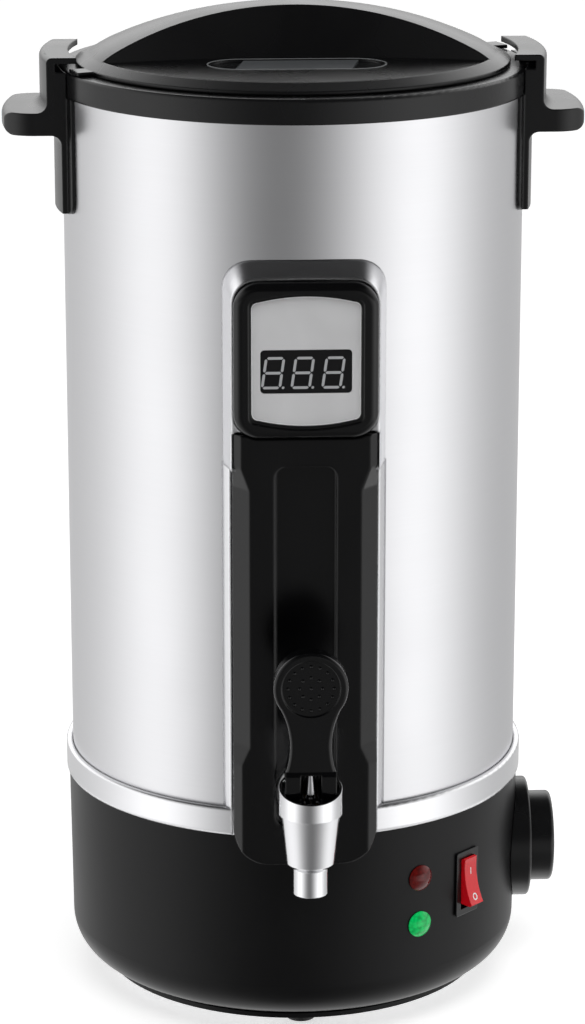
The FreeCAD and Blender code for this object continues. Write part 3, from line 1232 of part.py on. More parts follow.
def bezel_outline(growth):
    half = dim.bezel_half_width + growth
    return rounded_rectangle(-half, dim.bezel_bottom - growth, half,
                             dim.bezel_bottom + dim.bezel_height + growth, dim.bezel_rounding + growth)


def build_column():
    middle_start = dim.column_bottom + dim.column_chamfer_start
    shoulder_bottom = column_top - dim.column_shoulder
    narrow, wide = dim.column_narrow_chamfer, dim.column_chamfer
    run = dim.column_chamfer_run
    stations = [(dim.column_bottom, narrow), (middle_start, narrow), (middle_start + run, wide),
                (shoulder_bottom - run, wide), (shoulder_bottom + 2, narrow), (column_top, narrow)]
    bar = new_body("column_bar")
    sketches = [new_sketch(bar, "XY", [column_section(dim.shoulder_half_width, chamfer)], at=level)
                for level, chamfer in stations]
    loft = bar.newObject("PartDesign::AdditiveLoft", "column_loft")
    loft.Profile = sketches[0]
    loft.Sections = sketches[1:]
    loft.Ruled = True
    bar.Tip = loft

    half, shoulder = dim.column_half_width, dim.shoulder_half_width
    notch = half - dim.column_notch
    corner = dim.column_rounding
    bottom = dim.column_bottom
    front = (Outline(-(half - corner), bottom).line(half - corner, bottom)
             .arc(half, bottom + corner, corner, True).line(half, shoulder_bottom - dim.notch_slope)
             .line(notch, shoulder_bottom)
             .arc(shoulder - dim.shoulder_slope, column_top, dim.shoulder_bow, True)
             .line(-(shoulder - dim.shoulder_slope), column_top)
             .arc(-notch, shoulder_bottom, dim.shoulder_bow, True)
             .line(-half, shoulder_bottom - dim.notch_slope).line(-half, bottom + corner)
             .close_arc(corner, True))
    face = padded("column_face", "XZ", [front], dim.column_front + dim.overcut)
    form = common("column_form", bar, face)
    recess_half = dim.column_recess_half_width
    recess = padded("column_recess", "XZ", [rounded_rectangle(
        -recess_half, bottom + dim.column_recess_bottom, recess_half,
        column_top - dim.column_recess_top, dim.column_recess_rounding)],
        dim.column_recess_depth + dim.overcut, at=dim.column_front - dim.column_recess_depth)
    cavity_bottom = bottom + dim.column_chamfer_start - dim.column_cavity_overlap
    cavity = box("column_cavity", -(notch - dim.column_chamfer), -(dim.column_front
                 - dim.column_recess_depth - dim.column_wall), cavity_bottom,
                 (notch - dim.column_chamfer) * 2, through_all,
                 shoulder_bottom - 2 - cavity_bottom)
    bezel_space = padded("column_bezel_space", "XZ", [bezel_outline(dim.fit)],
                         dim.column_front + dim.overcut)
    tools = [wall_tool("column_seat", dim.seat_gap), recess, cavity, bezel_space,
             cylinder("column_shank_hole", shank_hole, through_all,
                      y=-dim.column_front - dim.overcut, z=dim.shank_level, along="Y")]
    screw_end = dim.column_front - dim.column_recess_depth - dim.column_wall
    for name, x, z in column_screw_places():
        tools.append(cylinder(f"column_pilot_{name}", dim.screw_radius + dim.running_gap,
                              screw_end - column_screw_seat + dim.running_gap,
                              x=x, y=-screw_end - dim.running_gap, z=z, along="Y"))
    node("column_cover", cut("column_cover", form, *tools))

    screws = [wall_screw(f"column_screw_{name}", 0, column_screw_seat, x, z,
                         screw_end - column_screw_seat) for name, x, z in column_screw_places()]
    node("column_screws", group("column_screws", *screws))


def build_surround():
    lower = dim.bezel_bottom - dim.surround_lower

    def arch(half, top, radius, bow):
        """Outline with a bowed top edge that runs smoothly into its two corners."""
        across = half - radius
        down = root((bow - radius) * (bow - radius) - across * across)
        reach = bow / (bow - radius)
        corner = top - bow + down
        return (Outline(-half, lower).line(half, lower).line(half, corner)
                .arc(across * reach, top - bow + down * reach, radius, True)
                .arc(-(across * reach), top - bow + down * reach, bow, True)
                .arc(-half, corner, radius, True))

    frame = new_body("surround_frame")
    back = new_sketch(frame, "XZ", [arch(dim.surround_half_width, dim.surround_top,
                                         dim.surround_rounding, dim.surround_bow)],
                      at=chord_depth(dim.drum_radius, dim.surround_half_width))
    front = new_sketch(frame, "XZ", [arch(dim.surround_front_half_width,
                                          dim.surround_top - dim.surround_front_drop,
                                          dim.surround_front_rounding, dim.surround_front_bow)],
                       at=dim.surround_front)
    loft = frame.newObject("PartDesign::AdditiveLoft", "surround_loft")
    loft.Profile = back
    loft.Sections = [front]
    loft.Ruled = True
    frame.Tip = loft
    strip_start = dim.column_half_width + dim.fit
    strip_edge = strip_start + dim.strip_width
    strip_outer = strip_edge + dim.strip_slope
    strip_back = chord_depth(dim.drum_radius, strip_outer)
    strips = []
    for side, name in ((-1, "left"), (1, "right")):
        section = (Outline(strip_start * side, -(strip_back + dim.strip_proud))
                   .line(strip_edge * side, -(strip_back + dim.strip_proud))
                   .line(strip_outer * side, -strip_back).line(strip_outer * side, -dim.tank_radius)
                   .line(strip_start * side, -dim.tank_radius))
        strips.append(padded(f"surround_strip_{name}", "XY", [section], lower + 1 - base_top,
                             at=base_top))
    shoulder = dim.shoulder_half_width + dim.fit
    tools = [wall_tool("surround_seat", dim.seat_gap),
             padded("surround_bezel_space", "XZ", [bezel_outline(dim.fit)],
                    dim.bezel_front + dim.overcut),
             box("surround_shoulder_space", -shoulder, -dim.bezel_front - dim.overcut,
                 lower - dim.overcut, shoulder * 2, through_all,
                 column_top + dim.fit - lower + dim.overcut),
             box("surround_column_space", -strip_start, -dim.bezel_front - dim.overcut,
                 base_top - dim.overcut, strip_start * 2, through_all, lower + 1 - base_top)]
    node("column_surround", cut("column_surround", fuse("surround_whole", frame, *strips), *tools))


def plate_outline(growth):
    """Outline of the faceplate: straight sides, bulged top and bottom, small round corners."""
    half = dim.plate_half_width + growth
    rise = dim.plate_side_height / 2 + growth
    corner = dim.plate_rounding
    bow = (dim.plate_half_width * dim.plate_half_width + dim.plate_arch * dim.plate_arch) / (
        dim.plate_arch * 2)
    top, bottom = plate_level + rise, plate_level - rise
    return (Outline(half, bottom + corner).line(half, top - corner)
            .arc(half - corner, top, corner, True).arc(-(half - corner), top, bow, True)
            .arc(-half, top - corner, corner, True).line(-half, bottom + corner)
            .arc(-(half - corner), bottom, corner, True).arc(half - corner, bottom, bow, True)
            .close_arc(corner, True))


def window_outline(growth):
    half = dim.window_half_width + growth
    rise = dim.window_height / 2 + growth
    return rounded_rectangle(-half, window_level - rise, half, window_level + rise,
                             dim.window_rounding + growth)


def build_display():
    front = dim.bezel_front
    plate_front = front - dim.plate_recess
    plate_back = plate_front - dim.plate_thickness
    block = padded("bezel_block", "XZ", [bezel_outline(Size.of(0))], front - bezel_back, at=bezel_back)
    softened = rounded("bezel_softened", block, dim.bezel_edge,
                       lambda edge: near(edge.BoundBox.YMin, -front) and near(edge.BoundBox.YMax, -front))
    lip = padded("bezel_lip_step", "XZ", [plate_outline(dim.bezel_lip)], dim.overcut,
                 at=front - dim.bezel_lip)
    pocket = padded("bezel_plate_pocket", "XZ", [plate_outline(dim.fit)], dim.overcut,
                    at=plate_back)
    through = padded("bezel_module_hole", "XZ", [window_outline(dim.fit)], through_all,
                     at=bezel_back - dim.overcut)
    cavity_half = display_cavity_half_width
    cavity = box("bezel_cavity", -cavity_half, -(plate_back - dim.bezel_web),
                 window_level - dim.display_board_height / 2 - dim.fit, cavity_half * 2, through_all,
                 dim.display_board_height + dim.fit * 2)
    node("display_bezel", cut("display_bezel", softened, lip, pocket, through, cavity))

    sheet = padded("faceplate_sheet", "XZ", [plate_outline(Size.of(0))], dim.plate_thickness,
                   at=plate_back)
    opening = padded("faceplate_opening", "XZ", [window_outline(dim.fit)],
                     dim.overcut * 2, at=plate_back - dim.overcut)
    node("display_faceplate", cut("display_faceplate", sheet, opening))

    window_back = plate_front - dim.window_thickness
    node("display_window", padded("display_window", "XZ", [window_outline(Size.of(0))],
                                  dim.window_thickness, at=window_back))
    node("digit_display", padded("digit_display", "XZ", [window_outline(-dim.fit)], dim.module_depth,
                                 at=window_back - dim.module_depth - dim.seat_gap))
    board_front = window_back - dim.module_depth - dim.seat_gap
    board_half, board_rise = dim.display_board_half_width, dim.display_board_height / 2
    node("display_board", box("display_board", -board_half, -board_front,
                              window_level - board_rise + dim.fit, board_half * 2,
                              dim.board_thickness, board_rise * 2 - dim.fit * 2))


# --- tap ---------------------------------------------------------------------------------------------------

cone_top = dim.cup_top - dim.cup_height
cone_bottom = cone_top - dim.cone_height
spout_top = cone_bottom - dim.spout_shoulder
spout_end = spout_top - dim.spout_length
bonnet_bottom = dim.bonnet_level - dim.bonnet_thickness
recess_floor = dim.column_front - dim.column_recess_depth
arm_end = recess_floor + dim.escutcheon_thickness
socket_end = dim.tap_reach - dim.chamber_radius - dim.socket_wall
shank_inner_end = dim.tank_radius - dim.shank_inside


def build_tap():
    cup_inner = dim.cup_radius - dim.cup_wall
    slope = tangent(dim.cup_slope)
    cup_back = dim.cup_top + slope * dim.cup_radius * 2
    outer = (Outline(0, spout_end).line(dim.spout_radius, spout_end).line(dim.spout_radius, spout_top)
             .line(dim.cone_lower_radius - dim.cone_edge, cone_bottom - dim.cone_edge)
             .line(dim.cone_lower_radius, cone_bottom)
             .line(dim.cone_upper_radius, cone_top).line(dim.cup_radius, cone_top)
             .line(dim.cup_radius, cup_back).line(0, cup_back))
    barrel = place(turned("tap_barrel", outer), y=-dim.tap_reach)
    side = dim.cup_radius * 2
    above = (Outline(-side, dim.cup_top - slope * dim.cup_radius)
             .line(side, dim.cup_top + slope * (dim.cup_radius + side)).line(side, cup_back + side)
             .line(-side, cup_back + side))
    rim = place(padded("tap_rim_slope", "YZ", [above], side * 2, both=True), y=-dim.tap_reach)
    cup = cut("tap_cup", barrel, rim)
    arm = cylinder("tap_arm", dim.arm_radius, dim.tap_reach - arm_end, y=-dim.tap_reach,
                   z=dim.shank_level, along="Y")
    inner = (Outline(0, spout_end - 1).line(dim.spout_bore, spout_end - 1)
             .line(dim.spout_bore, cone_bottom).line(dim.seat_bore, cone_bottom + 1)
             .line(dim.seat_bore, dim.seat_level).line(dim.chamber_radius, dim.seat_level)
             .line(dim.chamber_radius, bonnet_bottom).line(bonnet_radius, bonnet_bottom)
             .line(bonnet_radius, dim.bonnet_level).line(cup_inner, dim.bonnet_level)
             .line(cup_inner, cup_back + 1).line(0, cup_back + 1))
    hollow = place(turned("tap_hollow", inner), y=-dim.tap_reach)
    socket = cylinder("tap_socket", dim.shank_radius + dim.running_gap, socket_end - arm_end + dim.overcut,
                      y=-socket_end, z=dim.shank_level, along="Y")
    port = cylinder("tap_port", dim.shank_bore, dim.tap_reach - arm_end, y=-dim.tap_reach,
                    z=dim.shank_level, along="Y")
    node("tap_body", cut("tap_body", fuse("tap_outside", cup, arm), hollow, socket, port))

    pipe = Outline(-(socket_end - dim.seat_gap), dim.shank_bore).line(
        -shank_inner_end, dim.shank_bore).line(-shank_inner_end, dim.shank_radius).line(
        -(socket_end - dim.seat_gap), dim.shank_radius)
    node("tap_shank", place(turned("tap_shank", pipe, axis="H_Axis", plane="YZ"), z=dim.shank_level))

    bore = dim.shank_radius + dim.running_gap
    plate = (Outline(-arm_end, bore).line(-recess_floor, bore).line(-recess_floor, dim.escutcheon_radius)
             .line(-(recess_floor + dim.escutcheon_edge), dim.escutcheon_radius)
             .line(-arm_end, dim.arm_radius))
    node("escutcheon", place(turned("escutcheon", plate, axis="H_Axis", plane="YZ"), z=dim.shank_level))

    inside_face = chord_depth(dim.tank_radius, dim.washer_radius) - dim.fit * 2
    washers = []
    for name, face in (("inside", inside_face), ("outside", tank_outer + dim.seat_gap
                                                 + dim.washer_thickness)):
        ring = (Outline(-face, bore).line(-(face - dim.washer_thickness), bore)
                .line(-(face - dim.washer_thickness), dim.washer_radius).line(-face, dim.washer_radius))
        washers.append(place(turned(f"washer_{name}", ring, axis="H_Axis", plane="YZ"),
                             z=dim.shank_level))
    node("shank_washers", group("shank_washers", *washers))

    nut_front = inside_face - dim.washer_thickness
    node("shank_nut", place(hex_nut("shank_nut", dim.nut_half_flats, bore,
                                    dim.nut_thickness, nut_front - dim.nut_thickness),
                            z=dim.shank_level))

    bonnet = (Outline(dim.stem_guide_radius + dim.running_gap, bonnet_bottom)
              .line(bonnet_radius - dim.running_gap, bonnet_bottom)
              .line(bonnet_radius - dim.running_gap, dim.bonnet_level)
              .line(dim.stem_guide_radius + dim.running_gap, dim.bonnet_level))
    node("tap_bonnet", place(turned("tap_bonnet", bonnet), y=-dim.tap_reach))


def hex_nut(label, half_flats, bore, thickness, start):
    """Hexagonal nut along Y whose outer end lies at start, towards the front."""
    corner = half_flats / cosine(Size.of(30))
    outline = Outline(corner, 0)
    for step in range(1, 6):
        angle = Size.of(60 * step)
        outline.line(corner * cosine(angle), corner * sine(angle))
    return padded(label, "XZ", [outline, Ring(0, 0, bore)], thickness, at=start)


bonnet_radius = dim.cone_upper_radius - dim.bonnet_setback
eye_bottom = dim.pivot_level - dim.stem_eye_radius
eye_top = dim.pivot_level + dim.stem_eye_radius
collar_bottom = dim.seat_level + dim.cup_seal_height
collar_top = collar_bottom + dim.stem_collar_height
socket_bottom = collar_bottom - dim.cup_seal_socket
finial_bottom = eye_top + dim.stem_neck_height
finial_top = finial_bottom + dim.finial_height


def build_stem():
    profile = (Outline(0, socket_bottom).line(dim.stem_radius, socket_bottom)
               .line(dim.stem_radius, collar_bottom).line(dim.stem_collar_radius, collar_bottom)
               .line(dim.stem_collar_radius, collar_top).line(dim.stem_guide_radius, collar_top)
               .line(dim.stem_guide_radius, eye_bottom).line(dim.stem_eye_radius, eye_bottom)
               .line(dim.stem_eye_radius, eye_top).line(dim.stem_radius, eye_top)
               .line(dim.stem_radius, finial_bottom).line(dim.finial_radius, finial_bottom)
               .line(dim.finial_top_radius, finial_top).line(0, finial_top))
    rod = place(turned("stem_rod", profile), y=-dim.tap_reach)
    eye = cylinder("stem_eye_hole", dim.pin_radius + dim.running_gap, through, x=-(through / 2),
                   y=-dim.tap_reach, z=dim.pivot_level, along="X")
    node("tap_stem", cut("tap_stem", rod, eye))

    closed = dim.seat_level + dim.seat_clearance
    rubber = (Outline(0, closed).line(dim.cup_seal_radius, closed)
              .line(dim.cup_seal_radius, collar_bottom).line(dim.stem_radius, collar_bottom)
              .line(dim.stem_radius, socket_bottom).line(0, socket_bottom))
    node("seat_cup", place(turned("seat_cup", rubber), y=-dim.tap_reach))

    # The spring is drawn as a sleeve of the coil's own width and height.
    sleeve = rectangle(dim.spring_radius - dim.spring_wire, collar_top + dim.fit,
                       dim.spring_radius + dim.spring_wire, bonnet_bottom - dim.fit)
    node("stem_spring", place(turned("stem_spring", sleeve), y=-dim.tap_reach))


# An eccentric disc that is this far above and ahead of the pin, as shares of the rise in a radian, follows a
# steady rise to about 0.1 mm.
CAM_ABOVE = 0.5237
CAM_AHEAD = 0.9068
# How much of the disc stays in front of its middle, as a share of its radius.
CAM_TRIM = 0.715


def build_lever():
    reach = -dim.tap_reach
    pivot = dim.pivot_level
    fork_bottom = pivot + dim.fork_rise
    fork_top = fork_bottom + dim.fork_height
    half, neck = dim.fork_half_width, dim.neck_half_width
    paddle = dim.paddle_radius
    neck_end_half = chord_depth(paddle, dim.neck_end_drop)
    neck_top = dim.paddle_level - dim.neck_end_drop
    rise = (neck_top - fork_top) / 2
    sag = (half + neck_end_half) / 2 - neck
    hollow = (rise * rise + sag * sag) / (sag * 2)
    front = (Outline(-half, fork_bottom).line(half, fork_bottom).line(half, fork_top)
             .arc(neck_end_half, neck_top, hollow, False)
             .arc(0, dim.paddle_level + paddle, paddle, True)
             .arc(-neck_end_half, neck_top, paddle, True)
             .arc(-half, fork_top, hollow, False))
    arm = place(padded("lever_arm", "XZ", [front], dim.lever_half_depth * 2, both=True), y=reach)
    softened = rounded("lever_softened", arm, dim.lever_edge, lambda edge: (
        near(edge.BoundBox.YMin, reach - dim.lever_half_depth)
        and near(edge.BoundBox.YMax, reach - dim.lever_half_depth)
        and edge.BoundBox.ZMax > float(fork_bottom) + 1))

    depth = dim.fork_half_depth
    side_view = (Outline(-depth, fork_bottom).line(depth, fork_bottom).line(depth, fork_top - 2)
                 .line(dim.lever_half_depth, fork_top + 1).line(-dim.lever_half_depth, fork_top + 1)
                 .line(-depth, fork_top - 1))
    fork = place(padded("lever_fork", "YZ", [side_view], half * 2, both=True), y=reach)
    back_wall = depth - dim.fork_web
    web = box("lever_web", -dim.lobe_outer, reach + back_wall, pivot + 1, dim.lobe_outer * 2,
              dim.fork_web, dim.fork_rise + 2)
    lobe_inner = dim.lobe_outer - dim.cheek_thickness
    pieces = [softened, fork, web]
    for side, name in ((-1, "left"), (1, "right")):
        start = lobe_inner if side > 0 else -dim.lobe_outer
        pieces.append(cylinder(f"lever_lobe_{name}", dim.lobe_radius, dim.cheek_thickness, x=start,
                               y=reach, z=pivot, along="X"))
        pieces.append(box(f"lever_cheek_{name}", start, reach - dim.lobe_radius, pivot,
                          dim.cheek_thickness, dim.lobe_radius * 2, dim.fork_rise + 2))
    front_wall = depth - dim.fork_front_web
    front_half = dim.fork_front_half_width
    pieces.append(box("lever_front_web", -front_half, reach - depth, pivot + dim.running_gap,
                      front_half * 2, dim.fork_front_web, dim.fork_rise + 2))
    cavity_top = fork_top - dim.fork_roof
    notch_top = finial_top + dim.fork_notch_gap
    cavity = box("lever_cavity", -(half - dim.cheek_thickness), reach - front_wall, pivot - through,
                 (half - dim.cheek_thickness) * 2, front_wall + back_wall, through + cavity_top - pivot)
    notch = box("lever_notch", -dim.fork_notch, reach - depth - 1, pivot - 2, dim.fork_notch * 2,
                depth + 1 + back_wall, notch_top - pivot + 2)
    # The stem's end swings out through the back of the fork when the lever is pulled.
    slot_half = dim.finial_radius + dim.fork_slot_gap
    slot = box("lever_slot", -slot_half, reach, pivot - 2, slot_half * 2, depth + 1,
               notch_top - pivot + 2)
    form = cut("lever_form", fuse("lever_outside", *pieces), cavity, notch, slot)

    # Each cam is a round disc set off the pin, so that its flat seat rises in step with the pull.
    drop = pivot - dim.bonnet_level - dim.cam_gap
    rate = dim.tap_lift / (dim.lever_angle * math.pi / 180)
    ahead, above = rate * CAM_AHEAD, rate * CAM_ABOVE
    cam_radius = drop + above
    ribs = []
    for side, name in ((-1, "left"), (1, "right")):
        start = dim.cam_inner if side > 0 else -dim.cam_outer
        width = dim.cam_outer - dim.cam_inner
        disc = cylinder(f"lever_cam_disc_{name}", cam_radius, width, x=start, y=reach - ahead,
                        z=pivot + above, along="X")
        limit = box(f"lever_cam_limit_{name}", start - 1, reach - ahead - cam_radius * CAM_TRIM,
                    pivot - through, width + 2, through_all, through + dim.cam_top)
        bridge = box(f"lever_cam_bridge_{name}", start, reach - dim.cam_bridge_front,
                     pivot - dim.cam_bridge_drop, width,
                     dim.cam_bridge_front + back_wall + dim.cam_bridge_root,
                     dim.cam_bridge_drop + dim.cam_top)
        ribs.append(fuse(f"lever_cam_{name}", common(f"lever_cam_cut_{name}", disc, limit), bridge))
    pin_hole = cylinder("lever_pin_hole", dim.pin_radius + dim.running_gap / 2, through_all,
                        x=-(through_all / 2), y=reach, z=pivot, along="X")
    dish = cylinder("lever_dish", dim.paddle_dish_radius, dim.overcut,
                    y=reach - dim.lever_half_depth - dim.overcut + dim.paddle_dish_depth,
                    z=dim.paddle_level, along="Y")
    node("tap_lever", cut("tap_lever", fuse("lever_whole", form, *ribs), pin_hole, dish))
    pin_half = dim.lobe_outer - dim.pin_setback
    node("lever_pin", cylinder("lever_pin", dim.pin_radius, pin_half * 2, x=-pin_half, y=reach,
                               z=pivot, along="X"))


# --- lamps, switch and knob --------------------------------------------------------------------------------

def build_lamps():
    holders = []
    for name, colour, level in (("upper", "red", dim.lamp_upper_level),
                                ("lower", "green", dim.lamp_lower_level)):
        wall = base_wall_radius(level + dim.lamp_radius)
        seat = wall + dim.seat_gap
        face = wall + dim.lamp_proud
        neck_end = wall - dim.base_wall - dim.lamp_neck_inside
        lens = (Outline(-neck_end, 0).line(-neck_end, dim.lamp_neck_radius)
                .line(-seat, dim.lamp_neck_radius).line(-seat, dim.lamp_radius)
                .line(-(face - dim.lamp_dome), dim.lamp_radius)
                .arc(-face, 0, dim.lamp_dome_radius, True))
        body = turned(f"lamp_lens_{colour}", lens, axis="H_Axis", plane="YZ")
        node(f"lamp_lens_{colour}", place(body, z=level, azimuth=dim.lamp_azimuth))
        inner_wall = base_wall_radius(level - dim.holder_radius) - dim.base_wall
        front = chord_depth(inner_wall, dim.holder_radius) - dim.seat_gap
        socket = (Outline(-front, dim.lamp_neck_radius + dim.fit).line(-front, dim.holder_radius)
                  .line(-(front - dim.holder_depth), dim.holder_radius)
                  .line(-(front - dim.holder_depth), 0).line(-(neck_end - dim.fit), 0)
                  .line(-(neck_end - dim.fit), dim.lamp_neck_radius + dim.fit))
        holders.append(place(turned(f"lamp_holder_{name}", socket, axis="H_Axis", plane="YZ"),
                             z=level, azimuth=dim.lamp_azimuth))
    node("lamp_holders", group("lamp_holders", *holders))


switch_wall = base_wall_radius(dim.switch_level + dim.switch_half_height)
switch_back = switch_wall + dim.seat_gap
switch_face = switch_back + dim.switch_flange
rocker_pivot = switch_face - dim.rocker_pivot_depth


# Where the rocker's round back begins, as a share of its radius.
ROUND_CORNER = 0.7


def build_switch():
    level = dim.switch_level
    flange = padded("switch_flange", "XZ", [rounded_rectangle(
        -dim.switch_half_width, level - dim.switch_half_height, dim.switch_half_width,
        level + dim.switch_half_height, dim.switch_corner)], dim.switch_flange, at=switch_back)
    half = dim.switch_half_width - dim.switch_body_margin
    rise = dim.switch_half_height - dim.switch_body_margin
    case = box("switch_case", -half, -switch_back, level - rise, half * 2, dim.switch_depth, rise * 2)
    pocket_half = dim.rocker_half_width + dim.rocker_margin
    pocket_rise = dim.rocker_half_height + dim.rocker_end_gap
    pocket = box("switch_pocket", -pocket_half, -switch_face - dim.overcut, level - pocket_rise,
                 pocket_half * 2, dim.overcut + dim.rocker_pocket, pocket_rise * 2)
    pin_reach = dim.rocker_half_width + dim.rocker_pin_length
    pin_hole = cylinder("switch_pin_hole", dim.rocker_pin_radius + dim.running_gap,
                        (pin_reach + dim.rocker_pin_gap) * 2, x=-(pin_reach + dim.rocker_pin_gap),
                        y=-rocker_pivot, z=level, along="X")
    body = cut("switch_body", fuse("switch_block", flange, case), pocket, pin_hole)
    node("switch_body", place(body, azimuth=dim.switch_azimuth))

    tip = dim.rocker_pivot_depth + dim.rocker_front
    rise = dim.rocker_half_height
    flank = rise - dim.rocker_crown
    edge = rise - dim.rocker_edge
    back = dim.rocker_back_radius * ROUND_CORNER
    outline = (Outline(-tip, -flank).arc(-tip, flank, dim.rocker_hollow, True)
               .line(-(tip - dim.rocker_edge), rise).line(-dim.rocker_edge_setback, edge)
               .line(back, back).arc(back, -back, dim.rocker_back_radius, False)
               .line(-dim.rocker_edge_setback, -edge).line(-(tip - dim.rocker_edge), -rise))
    paddle = padded("rocker_paddle", "YZ", [outline], dim.rocker_half_width * 2, both=True,
                    shift=(-rocker_pivot, level), turn=-dim.rocker_tilt)
    pins = cylinder("rocker_pins", dim.rocker_pin_radius, pin_reach * 2, x=-pin_reach,
                    y=-rocker_pivot, z=level, along="X")
    node("switch_rocker", place(fuse("switch_rocker", paddle, pins), azimuth=dim.switch_azimuth))


knob_wall_radius = base_wall_radius(dim.knob_level)
dial_face = knob_wall_radius + dim.dial_proud
knob_back = dial_face + dim.knob_gap
thermostat_wall = chord_depth(knob_wall_radius - dim.base_wall, dim.thermostat_half_width)
thermostat_front = thermostat_wall - dim.thermostat_gap
bush_end = knob_back - dim.thermostat_gap
shaft_end = thermostat_front + dim.shaft_length


def build_knob():
    start = dim.tank_radius
    plate = (Outline(-start, dim.bush_radius + dim.fit).line(-start, dim.dial_radius)
             .line(-(dial_face - dim.dial_edge), dim.dial_radius)
             .arc(-dial_face, dim.dial_radius - dim.dial_edge, dim.dial_edge, True)
             .line(-dial_face, dim.bush_radius + dim.fit))
    hollow = rectangle(-(dial_face - dim.dial_web), dim.dial_hub_radius, -(start - 1),
                       dim.dial_radius - dim.dial_web)
    disc = cut("dial_disc", turned("dial_round", plate, axis="H_Axis", plane="YZ"),
               turned("dial_hollow", hollow, axis="H_Axis", plane="YZ"))
    place(disc, z=dim.knob_level)
    seated = cut("dial_seated", disc, wall_tool("dial_seat", dim.seat_gap))
    node("dial_plate", place(seated, azimuth=dim.knob_azimuth))

    face = knob_back + dim.knob_height
    rim = dim.knob_radius - dim.knob_edge
    cavity = dim.knob_radius - dim.knob_wall
    cavity_end = knob_back + dim.knob_cavity
    hole = dim.shaft_radius + dim.running_gap / 2
    outline = (
        Outline(-knob_back, dim.knob_radius).line(-(face - dim.knob_edge), dim.knob_radius)
        .arc(-face, rim, dim.knob_edge, True)
        .line(-(face + dim.knob_dome), dim.knob_hub_radius).line(-(face + dim.knob_dome), 0)
        .line(-(shaft_end + dim.fit), 0).line(-(shaft_end + dim.fit), hole).line(-knob_back, hole)
        .line(-knob_back, dim.knob_hub_radius).line(-cavity_end, dim.knob_hub_radius)
        .line(-cavity_end, cavity).line(-knob_back, cavity))
    knob = turned("knob_round", outline, axis="H_Axis", plane="YZ")
    knob.Placement = FreeCAD.Placement(FreeCAD.Vector(), FreeCAD.Rotation(FreeCAD.Vector(0, 1, 0), 90))
    place(knob, z=dim.knob_level)
    groove = box("knob_pointer", -(dim.pointer_width / 2), -(face + dim.knob_dome + 1),
                 dim.knob_level + dim.knob_radius - dim.pointer_length, dim.pointer_width,
                 dim.knob_dome + 1 + dim.pointer_depth, dim.pointer_length + 1)
    node("control_knob", place(cut("control_knob", knob, groove), azimuth=dim.knob_azimuth))

    start = thermostat_front - dim.shaft_root
    shaft = (Outline(-start, 0).line(-start, dim.shaft_radius).line(-shaft_end, dim.shaft_radius)
             .line(-shaft_end, 0))
    node("knob_shaft", place(turned("knob_shaft", shaft, axis="H_Axis", plane="YZ"),
                             z=dim.knob_level, azimuth=dim.knob_azimuth))

    half, rise = dim.thermostat_half_width, dim.thermostat_half_height
    case = box("thermostat_case", -half, -thermostat_front, dim.knob_level - rise, half * 2,
               dim.thermostat_depth, rise * 2)
    bush = cylinder("thermostat_bush", dim.bush_radius, bush_end - thermostat_front + 1,
                    y=-bush_end, z=dim.knob_level, along="Y")
    bore = cylinder("thermostat_bore", dim.shaft_radius + dim.running_gap,
                    bush_end - start + dim.fit + 1, y=-bush_end - 1, z=dim.knob_level, along="Y")
    thermostat = cut("thermostat_body", fuse("thermostat_block", case, bush), bore)
    node("thermostat_body", place(thermostat, azimuth=dim.knob_azimuth))


# --- heater and electrics ----------------------------------------------------------------------------------

def build_heater():
    spreader_bottom = tank_bottom - dim.spreader_thickness
    node("heat_spreader", cylinder("heat_spreader", dim.spreader_radius, dim.spreader_thickness,
                                   z=spreader_bottom))
    level = spreader_bottom - dim.element_rod
    ring = doc.addObject("Part::Torus", "element_ring")
    bind(ring, Radius1=dim.element_radius, Radius2=dim.element_rod, Angle3=dim.element_angle)
    place(ring, z=level)
    pieces = [ring]
    for name, angle in (("start", Size.of(0)), ("end", dim.element_angle)):
        pieces.append(cylinder(f"element_terminal_{name}", dim.element_rod, dim.element_terminal,
                               x=dim.element_radius * cosine(angle), y=dim.element_radius * sine(angle),
                               z=level - dim.element_terminal))
    node("heating_element", fuse("heating_element", *pieces))

    cutout_bottom = spreader_bottom - dim.cutout_height
    flange_edge = dim.cutout_radius + dim.cutout_flange
    cutout = (Outline(0, cutout_bottom).line(dim.cutout_radius, cutout_bottom)
              .line(dim.cutout_radius, spreader_bottom - dim.cutout_flange_thickness)
              .line(flange_edge, spreader_bottom - dim.cutout_flange_thickness)
              .line(flange_edge, spreader_bottom).line(0, spreader_bottom))
    node("thermal_cutout", turned("thermal_cutout", cutout))

    flange = chord_depth(dim.tank_radius, dim.probe_flange_radius) - dim.seat_gap
    tip = dim.tank_radius - dim.probe_length
    flange_front = flange - dim.probe_flange_thickness
    nut_end = tank_outer + dim.probe_nut_thickness
    probe = (Outline(tip, 0).line(tip, dim.probe_radius - dim.probe_tip)
             .line(tip + dim.probe_tip, dim.probe_radius)
             .line(flange_front, dim.probe_radius).line(flange_front, dim.probe_flange_radius)
             .line(flange, dim.probe_flange_radius).line(flange, dim.probe_radius)
             .line(tank_outer + dim.seat_gap, dim.probe_radius)
             .line(tank_outer + dim.seat_gap, dim.probe_flange_radius)
             .line(nut_end, dim.probe_flange_radius).line(nut_end, 0))
    node("temperature_probe", place(turned("temperature_probe", probe, axis="H_Axis", plane="YZ"),
                                    z=dim.probe_level))


